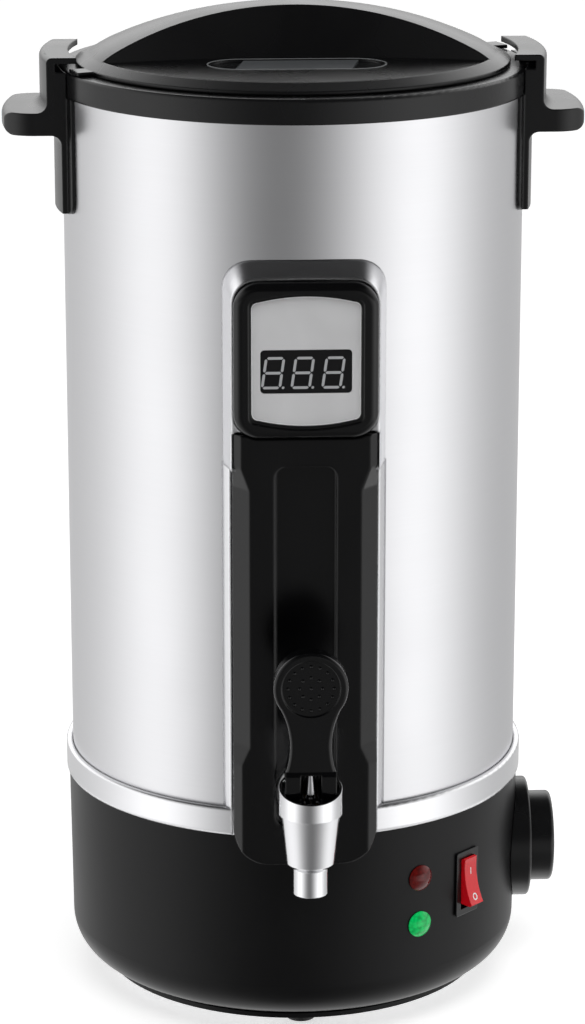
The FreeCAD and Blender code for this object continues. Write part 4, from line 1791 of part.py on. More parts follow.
def build_electrics():
    left, near_edge = -(dim.board_length / 2), dim.board_offset - dim.board_width / 2
    level = dim.board_level
    top = level + dim.board_thickness
    board = box("board_sheet", left, near_edge, level, dim.board_length, dim.board_width,
                dim.board_thickness)
    relay = box("board_relay", left + dim.relay_inset, near_edge + dim.relay_setback, top,
                dim.relay_length, dim.relay_width, dim.relay_height)
    supply = box("board_supply", dim.board_length / 2 - dim.supply_inset - dim.supply_length,
                 near_edge + dim.supply_setback, top, dim.supply_length, dim.supply_width,
                 dim.supply_height)
    terminals = box("board_terminals", left + dim.terminal_inset,
                    near_edge + dim.board_width - dim.terminal_setback - dim.terminal_width, top,
                    dim.terminal_length, dim.terminal_width, dim.terminal_height)
    node("control_board", fuse("control_board", board, relay, supply, terminals))
    posts = []
    for x_side in (-1, 1):
        for y_side in (-1, 1):
            posts.append(cylinder(
                f"post_{x_side}_{y_side}".replace("-", "m"), dim.standoff_radius, level - ledge_bottom,
                x=(dim.board_length / 2 - dim.standoff_inset) * x_side,
                y=dim.board_offset + (dim.board_width / 2 - dim.standoff_inset) * y_side, z=ledge_bottom))
    node("board_standoffs", group("board_standoffs", *posts))

    wall = base_wall_radius(dim.gland_level)
    seat = wall + dim.seat_gap
    end = seat + dim.gland_proud
    inside = wall - dim.base_wall - dim.gland_inside
    collar = seat + dim.gland_flange_thickness
    gland = (Outline(inside, dim.gland_bore).line(end, dim.gland_bore)
             .line(end, dim.gland_bore + dim.gland_lip).line(end - dim.gland_taper, dim.gland_radius)
             .line(collar, dim.gland_radius).line(collar, dim.gland_flange_radius - dim.gland_flange_edge)
             .line(collar - dim.gland_flange_edge, dim.gland_flange_radius)
             .line(seat, dim.gland_flange_radius)
             .line(seat, dim.gland_radius).line(inside, dim.gland_radius))
    node("cable_gland", place(turned("cable_gland", gland, axis="H_Axis", plane="YZ"),
                              z=dim.gland_level))
    nut_seat = chord_depth(wall - dim.base_wall, dim.gland_flange_radius + dim.gland_nut_margin)
    nut = hex_nut("gland_nut", dim.gland_flange_radius, dim.gland_radius + dim.running_gap,
                  dim.gland_nut_thickness, -(nut_seat - dim.seat_gap))
    node("gland_nut", place(nut, z=dim.gland_level))


# --- the melter --------------------------------------------------------------------------------------------

def check_and_write():
    """Stop at any failed object, then write each node's file."""
    doc.recompute()
    for obj in doc.Objects:
        if {"Invalid", "Error"} & set(obj.State):
            raise RuntimeError(f"{obj.Label}: {obj.State}")
    for name, obj in NODES.items():
        shape = obj.Shape
        if shape.isNull() or not shape.isValid() or not shape.Solids:
            raise RuntimeError(f"{name}: its shape is empty or not valid")
    os.makedirs("parts", exist_ok=True)
    for name, obj in NODES.items():
        obj.Shape.exportStep(os.path.join("parts", f"{name}.step"))


def build():
    build_base()
    build_drum()
    build_lid()
    build_handles()
    build_column()
    build_surround()
    build_display()
    build_tap()
    build_stem()
    build_lever()
    build_lamps()
    build_switch()
    build_knob()
    build_heater()
    build_electrics()
    check_and_write()


build()
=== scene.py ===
"""Candle wax melter: dresses the fixed frame of the model with its finishes and its finest details.

Each sub-assembly of the melter is a class that builds its own small pieces and gives its solids their finishes.
Lengths are metres, +Z is up and the tap points to -Y.
"""
from __future__ import annotations

import json
import logging
import math
from dataclasses import dataclass
from enum import Enum
from typing import Any, Iterable, Sequence

import bmesh
import bpy
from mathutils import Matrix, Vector
from mathutils.bvhtree import BVHTree

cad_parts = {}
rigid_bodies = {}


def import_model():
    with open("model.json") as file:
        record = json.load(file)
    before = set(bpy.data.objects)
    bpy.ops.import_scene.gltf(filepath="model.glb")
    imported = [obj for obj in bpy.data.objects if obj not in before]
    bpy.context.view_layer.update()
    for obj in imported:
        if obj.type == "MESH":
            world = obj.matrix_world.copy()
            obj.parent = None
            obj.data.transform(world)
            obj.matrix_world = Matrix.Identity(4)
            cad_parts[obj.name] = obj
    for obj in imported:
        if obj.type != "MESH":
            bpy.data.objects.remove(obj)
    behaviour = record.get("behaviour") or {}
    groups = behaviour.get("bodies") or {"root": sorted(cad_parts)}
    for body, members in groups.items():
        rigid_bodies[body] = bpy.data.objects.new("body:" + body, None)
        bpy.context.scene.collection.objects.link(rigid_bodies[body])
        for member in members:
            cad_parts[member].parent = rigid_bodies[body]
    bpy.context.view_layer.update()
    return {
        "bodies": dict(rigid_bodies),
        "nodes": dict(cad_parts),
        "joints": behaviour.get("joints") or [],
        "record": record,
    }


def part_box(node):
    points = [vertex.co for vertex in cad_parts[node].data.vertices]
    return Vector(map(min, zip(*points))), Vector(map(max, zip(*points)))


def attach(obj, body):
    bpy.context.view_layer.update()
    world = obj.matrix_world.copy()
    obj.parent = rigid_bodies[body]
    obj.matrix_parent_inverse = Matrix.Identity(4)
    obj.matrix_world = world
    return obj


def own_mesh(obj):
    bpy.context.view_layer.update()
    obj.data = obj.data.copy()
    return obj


LOG = logging.getLogger("wax_melter")
MILLIMETRE = 0.001
HALF_TURN = 180
SHARP_ANGLE = math.radians(35.0)
BEVEL_SAMPLES = 8
WELD = 1e-6
FLAT = 1e-5
Colour = tuple[float, float, float, float]
Point = tuple[float, float]


# --- colours and nodes -------------------------------------------------------------------------------------

def linear(code: str) -> Colour:
    """Turn an sRGB hex colour into linear light.

    Args:
        code: colour such as "#1b1b1b".

    Returns:
        Red, green, blue and an alpha of one.
    """
    channels = [int(code[start:start + 2], 16) / 255.0 for start in (1, 3, 5)]
    light = [c / 12.92 if c <= 0.04045 else ((c + 0.055) / 1.055) ** 2.4 for c in channels]
    return (light[0], light[1], light[2], 1.0)


def grey(level: float) -> Colour:
    """Give a neutral colour.

    Args:
        level: its linear light.

    Returns:
        The colour with an alpha of one.
    """
    return (level, level, level, 1.0)


def add_node(tree: bpy.types.NodeTree, kind: str, settings: dict[Any, Any] | None = None,
             links: dict[Any, bpy.types.NodeSocket] | None = None) -> bpy.types.Node:
    """Add a shader node with its settings and links.

    Args:
        tree: node tree that gets the node.
        kind: Blender's name of the node.
        settings: input or property names with their values; "stops" holds the stops of a colour ramp.
        links: input names with the output sockets that feed them.

    Returns:
        The new node.
    """
    node = tree.nodes.new(kind)
    for key, value in (settings or {}).items():
        if key == "stops":
            ramp = node.color_ramp
            while len(ramp.elements) < len(value):
                ramp.elements.new(0.5)
            for element, (position, colour) in zip(ramp.elements, value):
                element.position = position
                element.color = colour
        elif isinstance(key, int) or key in node.inputs:
            node.inputs[key].default_value = value
        else:
            setattr(node, key, value)
    for key, socket in (links or {}).items():
        tree.links.new(socket, node.inputs[key])
    return node


class Grain(Enum):
    """Cell of a surface pattern along X, Y and Z in millimetres."""

    AROUND = (60.0, 60.0, 0.8)
    FINE = (0.5, 0.5, 0.5)
    CLOUD = (45.0, 45.0, 45.0)
    FLOW = (38.0, 38.0, 60.0)


@dataclass(frozen=True)
class Finish:
    """What every finish has: its name, its colour and its gloss."""

    name: str
    tone: str
    roughness: float

    def start(self) -> tuple[bpy.types.Material, bpy.types.NodeTree, bpy.types.Node]:
        """Make the material with its shader.

        Returns:
            The material, its node tree and its Principled shader.
        """
        material = bpy.data.materials.new(self.name)
        material.use_nodes = True
        tree = material.node_tree
        tree.nodes.clear()
        shader = add_node(tree, "ShaderNodeBsdfPrincipled",
                          {"Base Color": linear(self.tone), "Roughness": self.roughness})
        add_node(tree, "ShaderNodeOutputMaterial", links={"Surface": shader.outputs[0]})
        return material, tree, shader

    def coordinates(self, tree: bpy.types.NodeTree, cells: Sequence[float]) -> bpy.types.NodeSocket:
        """Coordinates in which a pattern's cell measures one.

        Args:
            tree: node tree that gets the nodes.
            cells: cell size along X, Y and Z in millimetres.

        Returns:
            The vector socket.
        """
        place = add_node(tree, "ShaderNodeTexCoord")
        scale = [1.0 / (cell * MILLIMETRE) for cell in cells]
        return add_node(tree, "ShaderNodeMapping", {"Scale": scale},
                        {"Vector": place.outputs["Object"]}).outputs[0]

    def spread(self, tree: bpy.types.NodeTree, source: bpy.types.NodeSocket, low: float,
               high: float) -> bpy.types.NodeSocket:
        """Spread a pattern of 0 to 1 over a range of values.

        Args:
            tree: node tree that gets the node.
            source: pattern value.
            low: value where the pattern is darkest.
            high: value where it is brightest.

        Returns:
            The value socket.
        """
        return add_node(tree, "ShaderNodeMapRange", {"From Min": 0.25, "From Max": 0.75,
                                                     "To Min": low, "To Max": high},
                        {"Value": source}).outputs[0]

    def relief(self, tree: bpy.types.NodeTree, shader: bpy.types.Node, height: bpy.types.NodeSocket,
               strength: float, depth_mm: float, edge_mm: float = 0.0) -> None:
        """Give the shader a fine relief on top of softly turned edges.

        Args:
            tree: node tree that gets the nodes.
            shader: shader whose normal is set.
            height: pattern that stands for the relief's height.
            strength: share of the relief that shows.
            depth_mm: depth of the relief in millimetres.
            edge_mm: radius of the part's edges in millimetres, 0 for sharp ones.
        """
        links = {"Height": height}
        if edge_mm:
            links["Normal"] = add_node(tree, "ShaderNodeBevel",
                                       {"samples": BEVEL_SAMPLES, "Radius": edge_mm * MILLIMETRE}).outputs[0]
        bump = add_node(tree, "ShaderNodeBump",
                        {"Strength": strength, "Distance": depth_mm * MILLIMETRE}, links)
        tree.links.new(bump.outputs[0], shader.inputs["Normal"])


@dataclass(frozen=True)
class BrushedSteel(Finish):
    """Stainless sheet, belt brushed: fine parallel scratches that smear its reflections across them.

    Real scratches are about 0.1 mm apart; they are drawn 0.8 mm apart so that they show. A metal below
    one leaves a share of dull, bead-blasted skin.
    """

    depth_mm: float = 0.004
    smear: float = 0.0
    shade: float = 0.975
    edge_mm: float = 0.0
    metal: float = 1.0

    def make(self) -> bpy.types.Material:
        """Build the material.

        Returns:
            The new material.
        """
        material, tree, shader = self.start()
        lines = add_node(tree, "ShaderNodeTexNoise", {"Scale": 1.0, "Detail": 3.0, "Roughness": 0.6},
                         {"Vector": self.coordinates(tree, Grain.AROUND.value)})
        cloud = add_node(tree, "ShaderNodeTexNoise", {"Scale": 1.0, "Detail": 2.0},
                         {"Vector": self.coordinates(tree, Grain.CLOUD.value)})
        base = linear(self.tone)
        dark = tuple(channel * self.shade for channel in base[:3]) + (1.0,)
        tint = add_node(tree, "ShaderNodeMix", {"data_type": "RGBA", 6: dark, 7: base},
                        {0: self.spread(tree, lines.outputs[0], 0.0, 1.0)})
        tree.links.new(tint.outputs[2], shader.inputs["Base Color"])
        gloss = self.spread(tree, cloud.outputs[0], self.roughness - 0.015, self.roughness + 0.015)
        tree.links.new(gloss, shader.inputs["Roughness"])
        self.relief(tree, shader, lines.outputs[0], 0.6, self.depth_mm, self.edge_mm)
        shader.inputs["Metallic"].default_value = self.metal
        if self.smear:
            around = add_node(tree, "ShaderNodeTangent", {"direction_type": "RADIAL", "axis": "Z"})
            shader.inputs["Anisotropic"].default_value = self.smear
            tree.links.new(around.outputs[0], shader.inputs["Tangent"])
        return material


@dataclass(frozen=True)
class SatinMetal(Finish):
    """Turned, cast or pressed metal with a satin plate: soft reflections with a faint cloudiness."""

    cloud_mm: float = 6.0
    edge_mm: float = 0.0

    def make(self) -> bpy.types.Material:
        """Build the material.

        Returns:
            The new material.
        """
        material, tree, shader = self.start()
        cloud = add_node(tree, "ShaderNodeTexNoise", {"Scale": 1.0, "Detail": 4.0},
                         {"Vector": self.coordinates(tree, (self.cloud_mm,) * 3)})
        fine = add_node(tree, "ShaderNodeTexNoise", {"Scale": 1.0, "Detail": 2.0},
                        {"Vector": self.coordinates(tree, Grain.FINE.value)})
        gloss = self.spread(tree, cloud.outputs[0], self.roughness - 0.03, self.roughness + 0.04)
        tree.links.new(gloss, shader.inputs["Roughness"])
        self.relief(tree, shader, fine.outputs[0], 0.3, 0.002, self.edge_mm)
        shader.inputs["Metallic"].default_value = 1.0
        return material


@dataclass(frozen=True)
class MouldedPlastic(Finish):
    """Injection-moulded polypropylene or ABS: spark-eroded skin, dull between glossy flow marks.

    The skin's grit is about 0.1 mm; it is drawn as grit_mm so that it shows.
    """

    grit_mm: float = 0.6
    depth_mm: float = 0.012
    coat: float = 0.0
    specular: float = 0.5
    edge_mm: float = 0.0

    def make(self) -> bpy.types.Material:
        """Build the material.

        Returns:
            The new material.
        """
        material, tree, shader = self.start()
        grit = add_node(tree, "ShaderNodeTexNoise", {"Scale": 1.0, "Detail": 3.0, "Roughness": 0.65},
                        {"Vector": self.coordinates(tree, (self.grit_mm,) * 3)})
        flow = add_node(tree, "ShaderNodeTexNoise", {"Scale": 1.0, "Detail": 2.0, "Distortion": 0.6},
                        {"Vector": self.coordinates(tree, Grain.FLOW.value)})
        base = linear(self.tone)
        pale = tuple(min(channel * 1.25 + 0.001, 1.0) for channel in base[:3]) + (1.0,)
        tint = add_node(tree, "ShaderNodeMix", {"data_type": "RGBA", 6: base, 7: pale},
                        {0: self.spread(tree, flow.outputs[0], 0.0, 1.0)})
        tree.links.new(tint.outputs[2], shader.inputs["Base Color"])
        gloss = self.spread(tree, flow.outputs[0], self.roughness - 0.03, self.roughness + 0.03)
        tree.links.new(gloss, shader.inputs["Roughness"])
        self.relief(tree, shader, grit.outputs[0], 0.5, self.depth_mm, self.edge_mm)
        shader.inputs["Specular IOR Level"].default_value = self.specular
        shader.inputs["Coat Weight"].default_value = self.coat
        shader.inputs["Coat Roughness"].default_value = 0.06
        return material


@dataclass(frozen=True)
class LampLens(Finish):
    """Tinted polycarbonate dome over a small lamp: ribbed inside, so its colour is lit unevenly."""

    glow: float = 0.0
    rib_mm: float = 1.5

    def make(self) -> bpy.types.Material:
        """Build the material.

        Returns:
            The new material.
        """
        material, tree, shader = self.start()
        ribs = add_node(tree, "ShaderNodeTexVoronoi", {"Scale": 1.0, "feature": "SMOOTH_F1"},
                        {"Vector": self.coordinates(tree, (self.rib_mm,) * 3)})
        base = linear(self.tone)
        dark = tuple(channel * 0.55 for channel in base[:3]) + (1.0,)
        tint = add_node(tree, "ShaderNodeMix", {"data_type": "RGBA", 6: base, 7: dark},
                        {0: self.spread(tree, ribs.outputs["Distance"], 0.0, 1.0)})
        tree.links.new(tint.outputs[2], shader.inputs["Base Color"])
        tree.links.new(tint.outputs[2], shader.inputs["Emission Color"])
        self.relief(tree, shader, ribs.outputs["Distance"], 0.2, 0.04)
        shader.inputs["Emission Strength"].default_value = self.glow
        shader.inputs["Specular IOR Level"].default_value = 0.35
        return material


@dataclass(frozen=True)
class Fibre(Finish):
    """Felted mineral fibre: a soft, matt, matted surface."""

    strand_mm: float = 1.2

    def make(self) -> bpy.types.Material:
        """Build the material.

        Returns:
            The new material.
        """
        material, tree, shader = self.start()
        strands = add_node(tree, "ShaderNodeTexNoise",
                           {"Scale": 1.0, "Detail": 6.0, "Roughness": 0.75, "Distortion": 2.5},
                           {"Vector": self.coordinates(tree, (self.strand_mm, self.strand_mm * 4,
                                                              self.strand_mm))})
        base = linear(self.tone)
        dark = tuple(channel * 0.7 for channel in base[:3]) + (1.0,)
        tint = add_node(tree, "ShaderNodeMix", {"data_type": "RGBA", 6: dark, 7: base},
                        {0: self.spread(tree, strands.outputs[0], 0.0, 1.0)})
        tree.links.new(tint.outputs[2], shader.inputs["Base Color"])
        self.relief(tree, shader, strands.outputs[0], 0.9, 0.5)
        shader.inputs["Sheen Weight"].default_value = 0.4
        return material


@dataclass(frozen=True)
class CircuitBoard(Finish):
    """Glass-epoxy board under green solder mask, with its copper tracks just visible."""

    track_mm: float = 2.4

    def make(self) -> bpy.types.Material:
        """Build the material.

        Returns:
            The new material.
        """
        material, tree, shader = self.start()
        tracks = add_node(tree, "ShaderNodeTexBrick",
                          {"Scale": 1.0, "Mortar Size": 0.12, "Color1": linear(self.tone),
                           "Color2": linear("#0c5a2c"), "Mortar": linear("#3f8f4d")},
                          {"Vector": self.coordinates(tree, (self.track_mm * 3, self.track_mm,
                                                             self.track_mm))})
        tree.links.new(tracks.outputs["Color"], shader.inputs["Base Color"])
        shader.inputs["Coat Weight"].default_value = 0.4
        return material


# --- finishes of the melter --------------------------------------------------------------------------------

# The drum's soft satin smears the room's panels up and down its wall.
DRUM_STEEL = BrushedSteel("brushed_stainless_drum", "#cfcfd1", 0.30, depth_mm=0.0012, smear=0.45,
                          shade=0.985)
# The band and the surround are brighter and sharper than the drum, with softly pressed edges.
TRIM_STEEL = BrushedSteel("polished_stainless_trim", "#d6d6d8", 0.22, depth_mm=0.0006, shade=0.985,
                          edge_mm=2.0)
# The tank and the lid's liner are dull and evenly grey, as blasted sheet is.
TANK_STEEL = BrushedSteel("satin_stainless_tank", "#e2e2e4", 0.45, depth_mm=0.006, shade=0.93, metal=0.3)
# Screws, nuts and springs have a cool, slightly uneven zinc skin.
FASTENER_STEEL = SatinMetal("zinc_plated_steel", "#b4b6ba", 0.32, cloud_mm=1.5)
# The tap's chrome shows the dark front between two bright sides, with crisp steps.
TAP_CHROME = SatinMetal("satin_chrome_plate", "#d9d9db", 0.16, cloud_mm=9.0, edge_mm=0.4)
# The rose behind the tap is duller than the tap, so it stays light beside the cup.
ROSE_CHROME = SatinMetal("brushed_chrome_rose", "#dededf", 0.30, cloud_mm=9.0, edge_mm=0.8)
STEM_STEEL = SatinMetal("turned_stainless", "#bfbfc2", 0.24, cloud_mm=2.0)
ALUMINIUM = SatinMetal("milled_aluminium", "#c8cacd", 0.38, cloud_mm=3.0)
BRASS = SatinMetal("turned_brass", "#c39a4b", 0.27, cloud_mm=2.0)
# The heater's sheath is browned by use.
SHEATH = SatinMetal("heat_tinted_sheath", "#6b655f", 0.45, cloud_mm=7.0)
# The lid, its ring and the handles are black with broad, soft sheens.
BLACK_PP = MouldedPlastic("black_polypropylene", "#0c0c0d", 0.27, depth_mm=0.006, specular=0.3, edge_mm=1.0)
# The column is nearly black, and only its slants and rounded edges catch the light.
COLUMN_PP = MouldedPlastic("black_column_moulding", "#020203", 0.22, depth_mm=0.004, specular=0.3,
                           edge_mm=1.8)
# The base is the dullest black and fades to grey at both sides.
BASE_PP = MouldedPlastic("black_base_moulding", "#0d0d0e", 0.36, grit_mm=0.5, depth_mm=0.006, specular=0.16)
# The bezel is polished, with thin bright lines along its edges.
GLOSS_ABS = MouldedPlastic("black_gloss_abs", "#050506", 0.14, grit_mm=1.5, depth_mm=0.001, specular=0.32,
                           edge_mm=0.8)
KNOB_ABS = MouldedPlastic("black_knob_abs", "#101011", 0.28, depth_mm=0.005, specular=0.4, edge_mm=0.5)
# The lever is the glossiest black, with a bright line round its paddle.
LEVER_ABS = MouldedPlastic("black_lever_abs", "#030304", 0.13, grit_mm=0.5, depth_mm=0.002, specular=0.35,
                           edge_mm=0.8)
# The faceplate is plain grey foil; the pale line round its edge is a painted highlight for the light on its
# bevel.
PLATE_FOIL = MouldedPlastic("grey_faceplate_foil", "#c8c8c9", 0.38, grit_mm=0.4, depth_mm=0.004,
                            specular=0.3, edge_mm=0.4)
# Painted highlight: this pale colour along the faceplate's edge stands for the light caught by its polished
# bevel.
FACEPLATE_EDGE_HIGHLIGHT = MouldedPlastic("painted_faceplate_edge_highlight", "#ececed", 0.35, grit_mm=0.4, depth_mm=0.002)
INSET_FOIL = MouldedPlastic("grey_lid_plate", "#505254", 0.32, grit_mm=0.8, depth_mm=0.003)
SLOT_EDGE = MouldedPlastic("pale_slot_edge", "#77797a", 0.3, grit_mm=0.8, depth_mm=0.003)
# The window is smoked, and the unlit segments stand pale in its face.
WINDOW = MouldedPlastic("smoked_window", "#131314", 0.10, grit_mm=3.0, depth_mm=0.001, specular=0.2)
SEGMENT = MouldedPlastic("unlit_segment_resin", "#a9aaac", 0.30, grit_mm=0.3, depth_mm=0.004, coat=0.1)
SILICONE = MouldedPlastic("translucent_silicone", "#b9b7b0", 0.50, grit_mm=0.7, depth_mm=0.010)
FOOT_RUBBER = MouldedPlastic("moulded_foot_rubber", "#141414", 0.62, grit_mm=0.5, depth_mm=0.030)
CERAMIC = MouldedPlastic("cutout_phenolic", "#8a8378", 0.5, depth_mm=0.015)
# The rocker is a deep red with a glossy skin.
ROCKER_RED = MouldedPlastic("red_rocker_abs", "#dc0d1c", 0.16, grit_mm=1.2, depth_mm=0.003, coat=0.3,
                            specular=0.4, edge_mm=0.5)
MARK_WHITE = MouldedPlastic("printed_white_ink", "#f2eeec", 0.42, grit_mm=0.3, depth_mm=0.003)
# The red lamp is dark and barely lit, and the green one glows.
LENS_RED = LampLens("red_lamp_lens", "#4e0a08", 0.12, glow=0.5)
LENS_GREEN = LampLens("green_lamp_lens", "#04b458", 0.14, glow=0.45)
WOOL = Fibre("glass_wool", "#d7cfa9", 0.95)
BOARD = CircuitBoard("green_solder_mask", "#0f6b36", 0.35)


# --- meshes ------------------------------------------------------------------------------------------------

def mesh_piece(name: str, verts: Iterable[Sequence[float]], faces: Iterable[Sequence[int]],
               smooth: bool = True) -> bpy.types.Object:
    """Make an object from points and faces.

    Args:
        name: name of the piece.
        verts: its points in metres.
        faces: its faces as point numbers.
        smooth: whether its faces are shaded smooth, with sharp edges over 35 degrees.

    Returns:
        The linked object.
    """
    mesh = bpy.data.meshes.new(name)
    mesh.from_pydata([tuple(v) for v in verts], [], [tuple(f) for f in faces])
    mesh.validate()
    shape = bmesh.new()
    shape.from_mesh(mesh)
    bmesh.ops.recalc_face_normals(shape, faces=shape.faces)
    shape.to_mesh(mesh)
    shape.free()
    mesh.update()
    if smooth:
        mesh.shade_smooth()
        mesh.set_sharp_from_angle(angle=SHARP_ANGLE)
    piece = bpy.data.objects.new(name, mesh)
    bpy.context.scene.collection.objects.link(piece)
    return piece


def dress(finish: Any, *pieces: bpy.types.Object) -> None:
    """Give pieces a finish; its material is made once and shared.

    Args:
        finish: the finish.
        pieces: the pieces that get it.
    """
    material = bpy.data.materials.get(finish.name) or finish.make()
    for piece in pieces:
        piece.data.materials.clear()
        piece.data.materials.append(material)


@dataclass
class Assembly:
    """What every sub-assembly has: the frame that it dresses and the body that it rides on."""

    frame: dict[str, Any]
    body: str = "melter_body"

    def solid(self, name: str) -> bpy.types.Object:
        """Find one of the frame's own solids.

        Args:
            name: its name.

        Returns:
            The solid's object.
        """
        return self.frame["nodes"][name]

    def wear(self, finish: Any, *names: str) -> None:
        """Dress solids of the frame.

        Args:
            finish: their finish.
            names: their names.
        """
        dress(finish, *(self.solid(name) for name in names))
        LOG.info("%s: %s", finish.name, ", ".join(names))

    def settle(self, piece: bpy.types.Object, finish: Any, slot: str, body: str | None = None) -> None:
        """Dress a new piece and let it ride on its body.

        Args:
            piece: the new piece.
            finish: its finish.
            slot: material slot of the record; not used.
            body: body that it rides on, if not the assembly's own.
        """
        dress(finish, piece)
        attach(piece, body or self.body)
        LOG.info("built %s on %s", piece.name, body or self.body)

    def build(self) -> None:
        """Build the assembly's own small pieces."""

    def dress_all(self) -> None:
        """Give the assembly's solids their finishes."""


# --- sub-assemblies ----------------------------------------------------------------------------------------

@dataclass
class Drum(Assembly):
    """Steel drum with its band, rim ring, tank and jacket."""

    def dress_all(self) -> None:
        """Dress the drum."""
        self.wear(DRUM_STEEL, "outer_shell")
        self.wear(TRIM_STEEL, "base_band")
        self.wear(TANK_STEEL, "inner_pot", "temperature_probe")
        self.wear(BLACK_PP, "rim_ring")
        self.wear(WOOL, "insulation")


@dataclass
class Lid(Assembly):
    """Domed lid with its grip bar, inset plate, liner and seal."""

    body: str = "lid_body"
    slot_length: float = 0.078
    slot_width: float = 0.029
    slot_offset: float = 0.0365
    slot_depth: float = 0.0012
    edge_width: float = 0.0007
    edge_rise: float = 0.00025
    end_steps: int = 24

    def build(self) -> None:
        """Build a thin pale line round the long slot."""
        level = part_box("lid_inset_plate")[0].z + self.slot_depth
        half, radius = self.slot_length / 2, self.slot_width / 2
        rings = []
        for grown, rise in ((0.0, 0.0), (0.0, self.edge_rise), (self.edge_width, self.edge_rise),
                            (self.edge_width, 0.0)):
            ring = []
            for side, start in ((1, -90), (-1, 90)):
                for step in range(self.end_steps + 1):
                    angle = math.radians(start + step * HALF_TURN / self.end_steps)
                    ring.append((side * (half - radius) + (radius + grown) * math.cos(angle),
                                 -self.slot_offset + (radius + grown) * math.sin(angle), level + rise))
            rings.append(ring)
        count = len(rings[0])
        verts = [point for ring in rings for point in ring]
        faces = []
        for loop in range(4):
            after = (loop + 1) % 4
            for index in range(count):
                ahead = (index + 1) % count
                faces.append((loop * count + index, loop * count + ahead,
                              after * count + ahead, after * count + index))
        line = mesh_piece("lid_slot_edge", verts, faces)
        self.settle(line, SLOT_EDGE, "light_plate")

    def dress_all(self) -> None:
        """Dress the lid."""
        self.wear(BLACK_PP, "lid")
        self.wear(INSET_FOIL, "lid_inset_plate")
        self.wear(TANK_STEEL, "lid_liner")
        self.wear(FASTENER_STEEL, "lid_screws")
        self.wear(SILICONE, "lid_seal")


@dataclass
class Handles(Assembly):
    """The two side handles with their screws."""

    def dress_all(self) -> None:
        """Dress the handles."""
        self.wear(BLACK_PP, "handle_left", "handle_right")
        self.wear(FASTENER_STEEL, "handle_screws")


@dataclass
class Column(Assembly):
    """Front column, its steel surround and its screws."""

    def dress_all(self) -> None:
        """Dress the column."""
        self.wear(COLUMN_PP, "column_cover")
        self.wear(TRIM_STEEL, "column_surround")
        self.wear(FASTENER_STEEL, "column_screws")


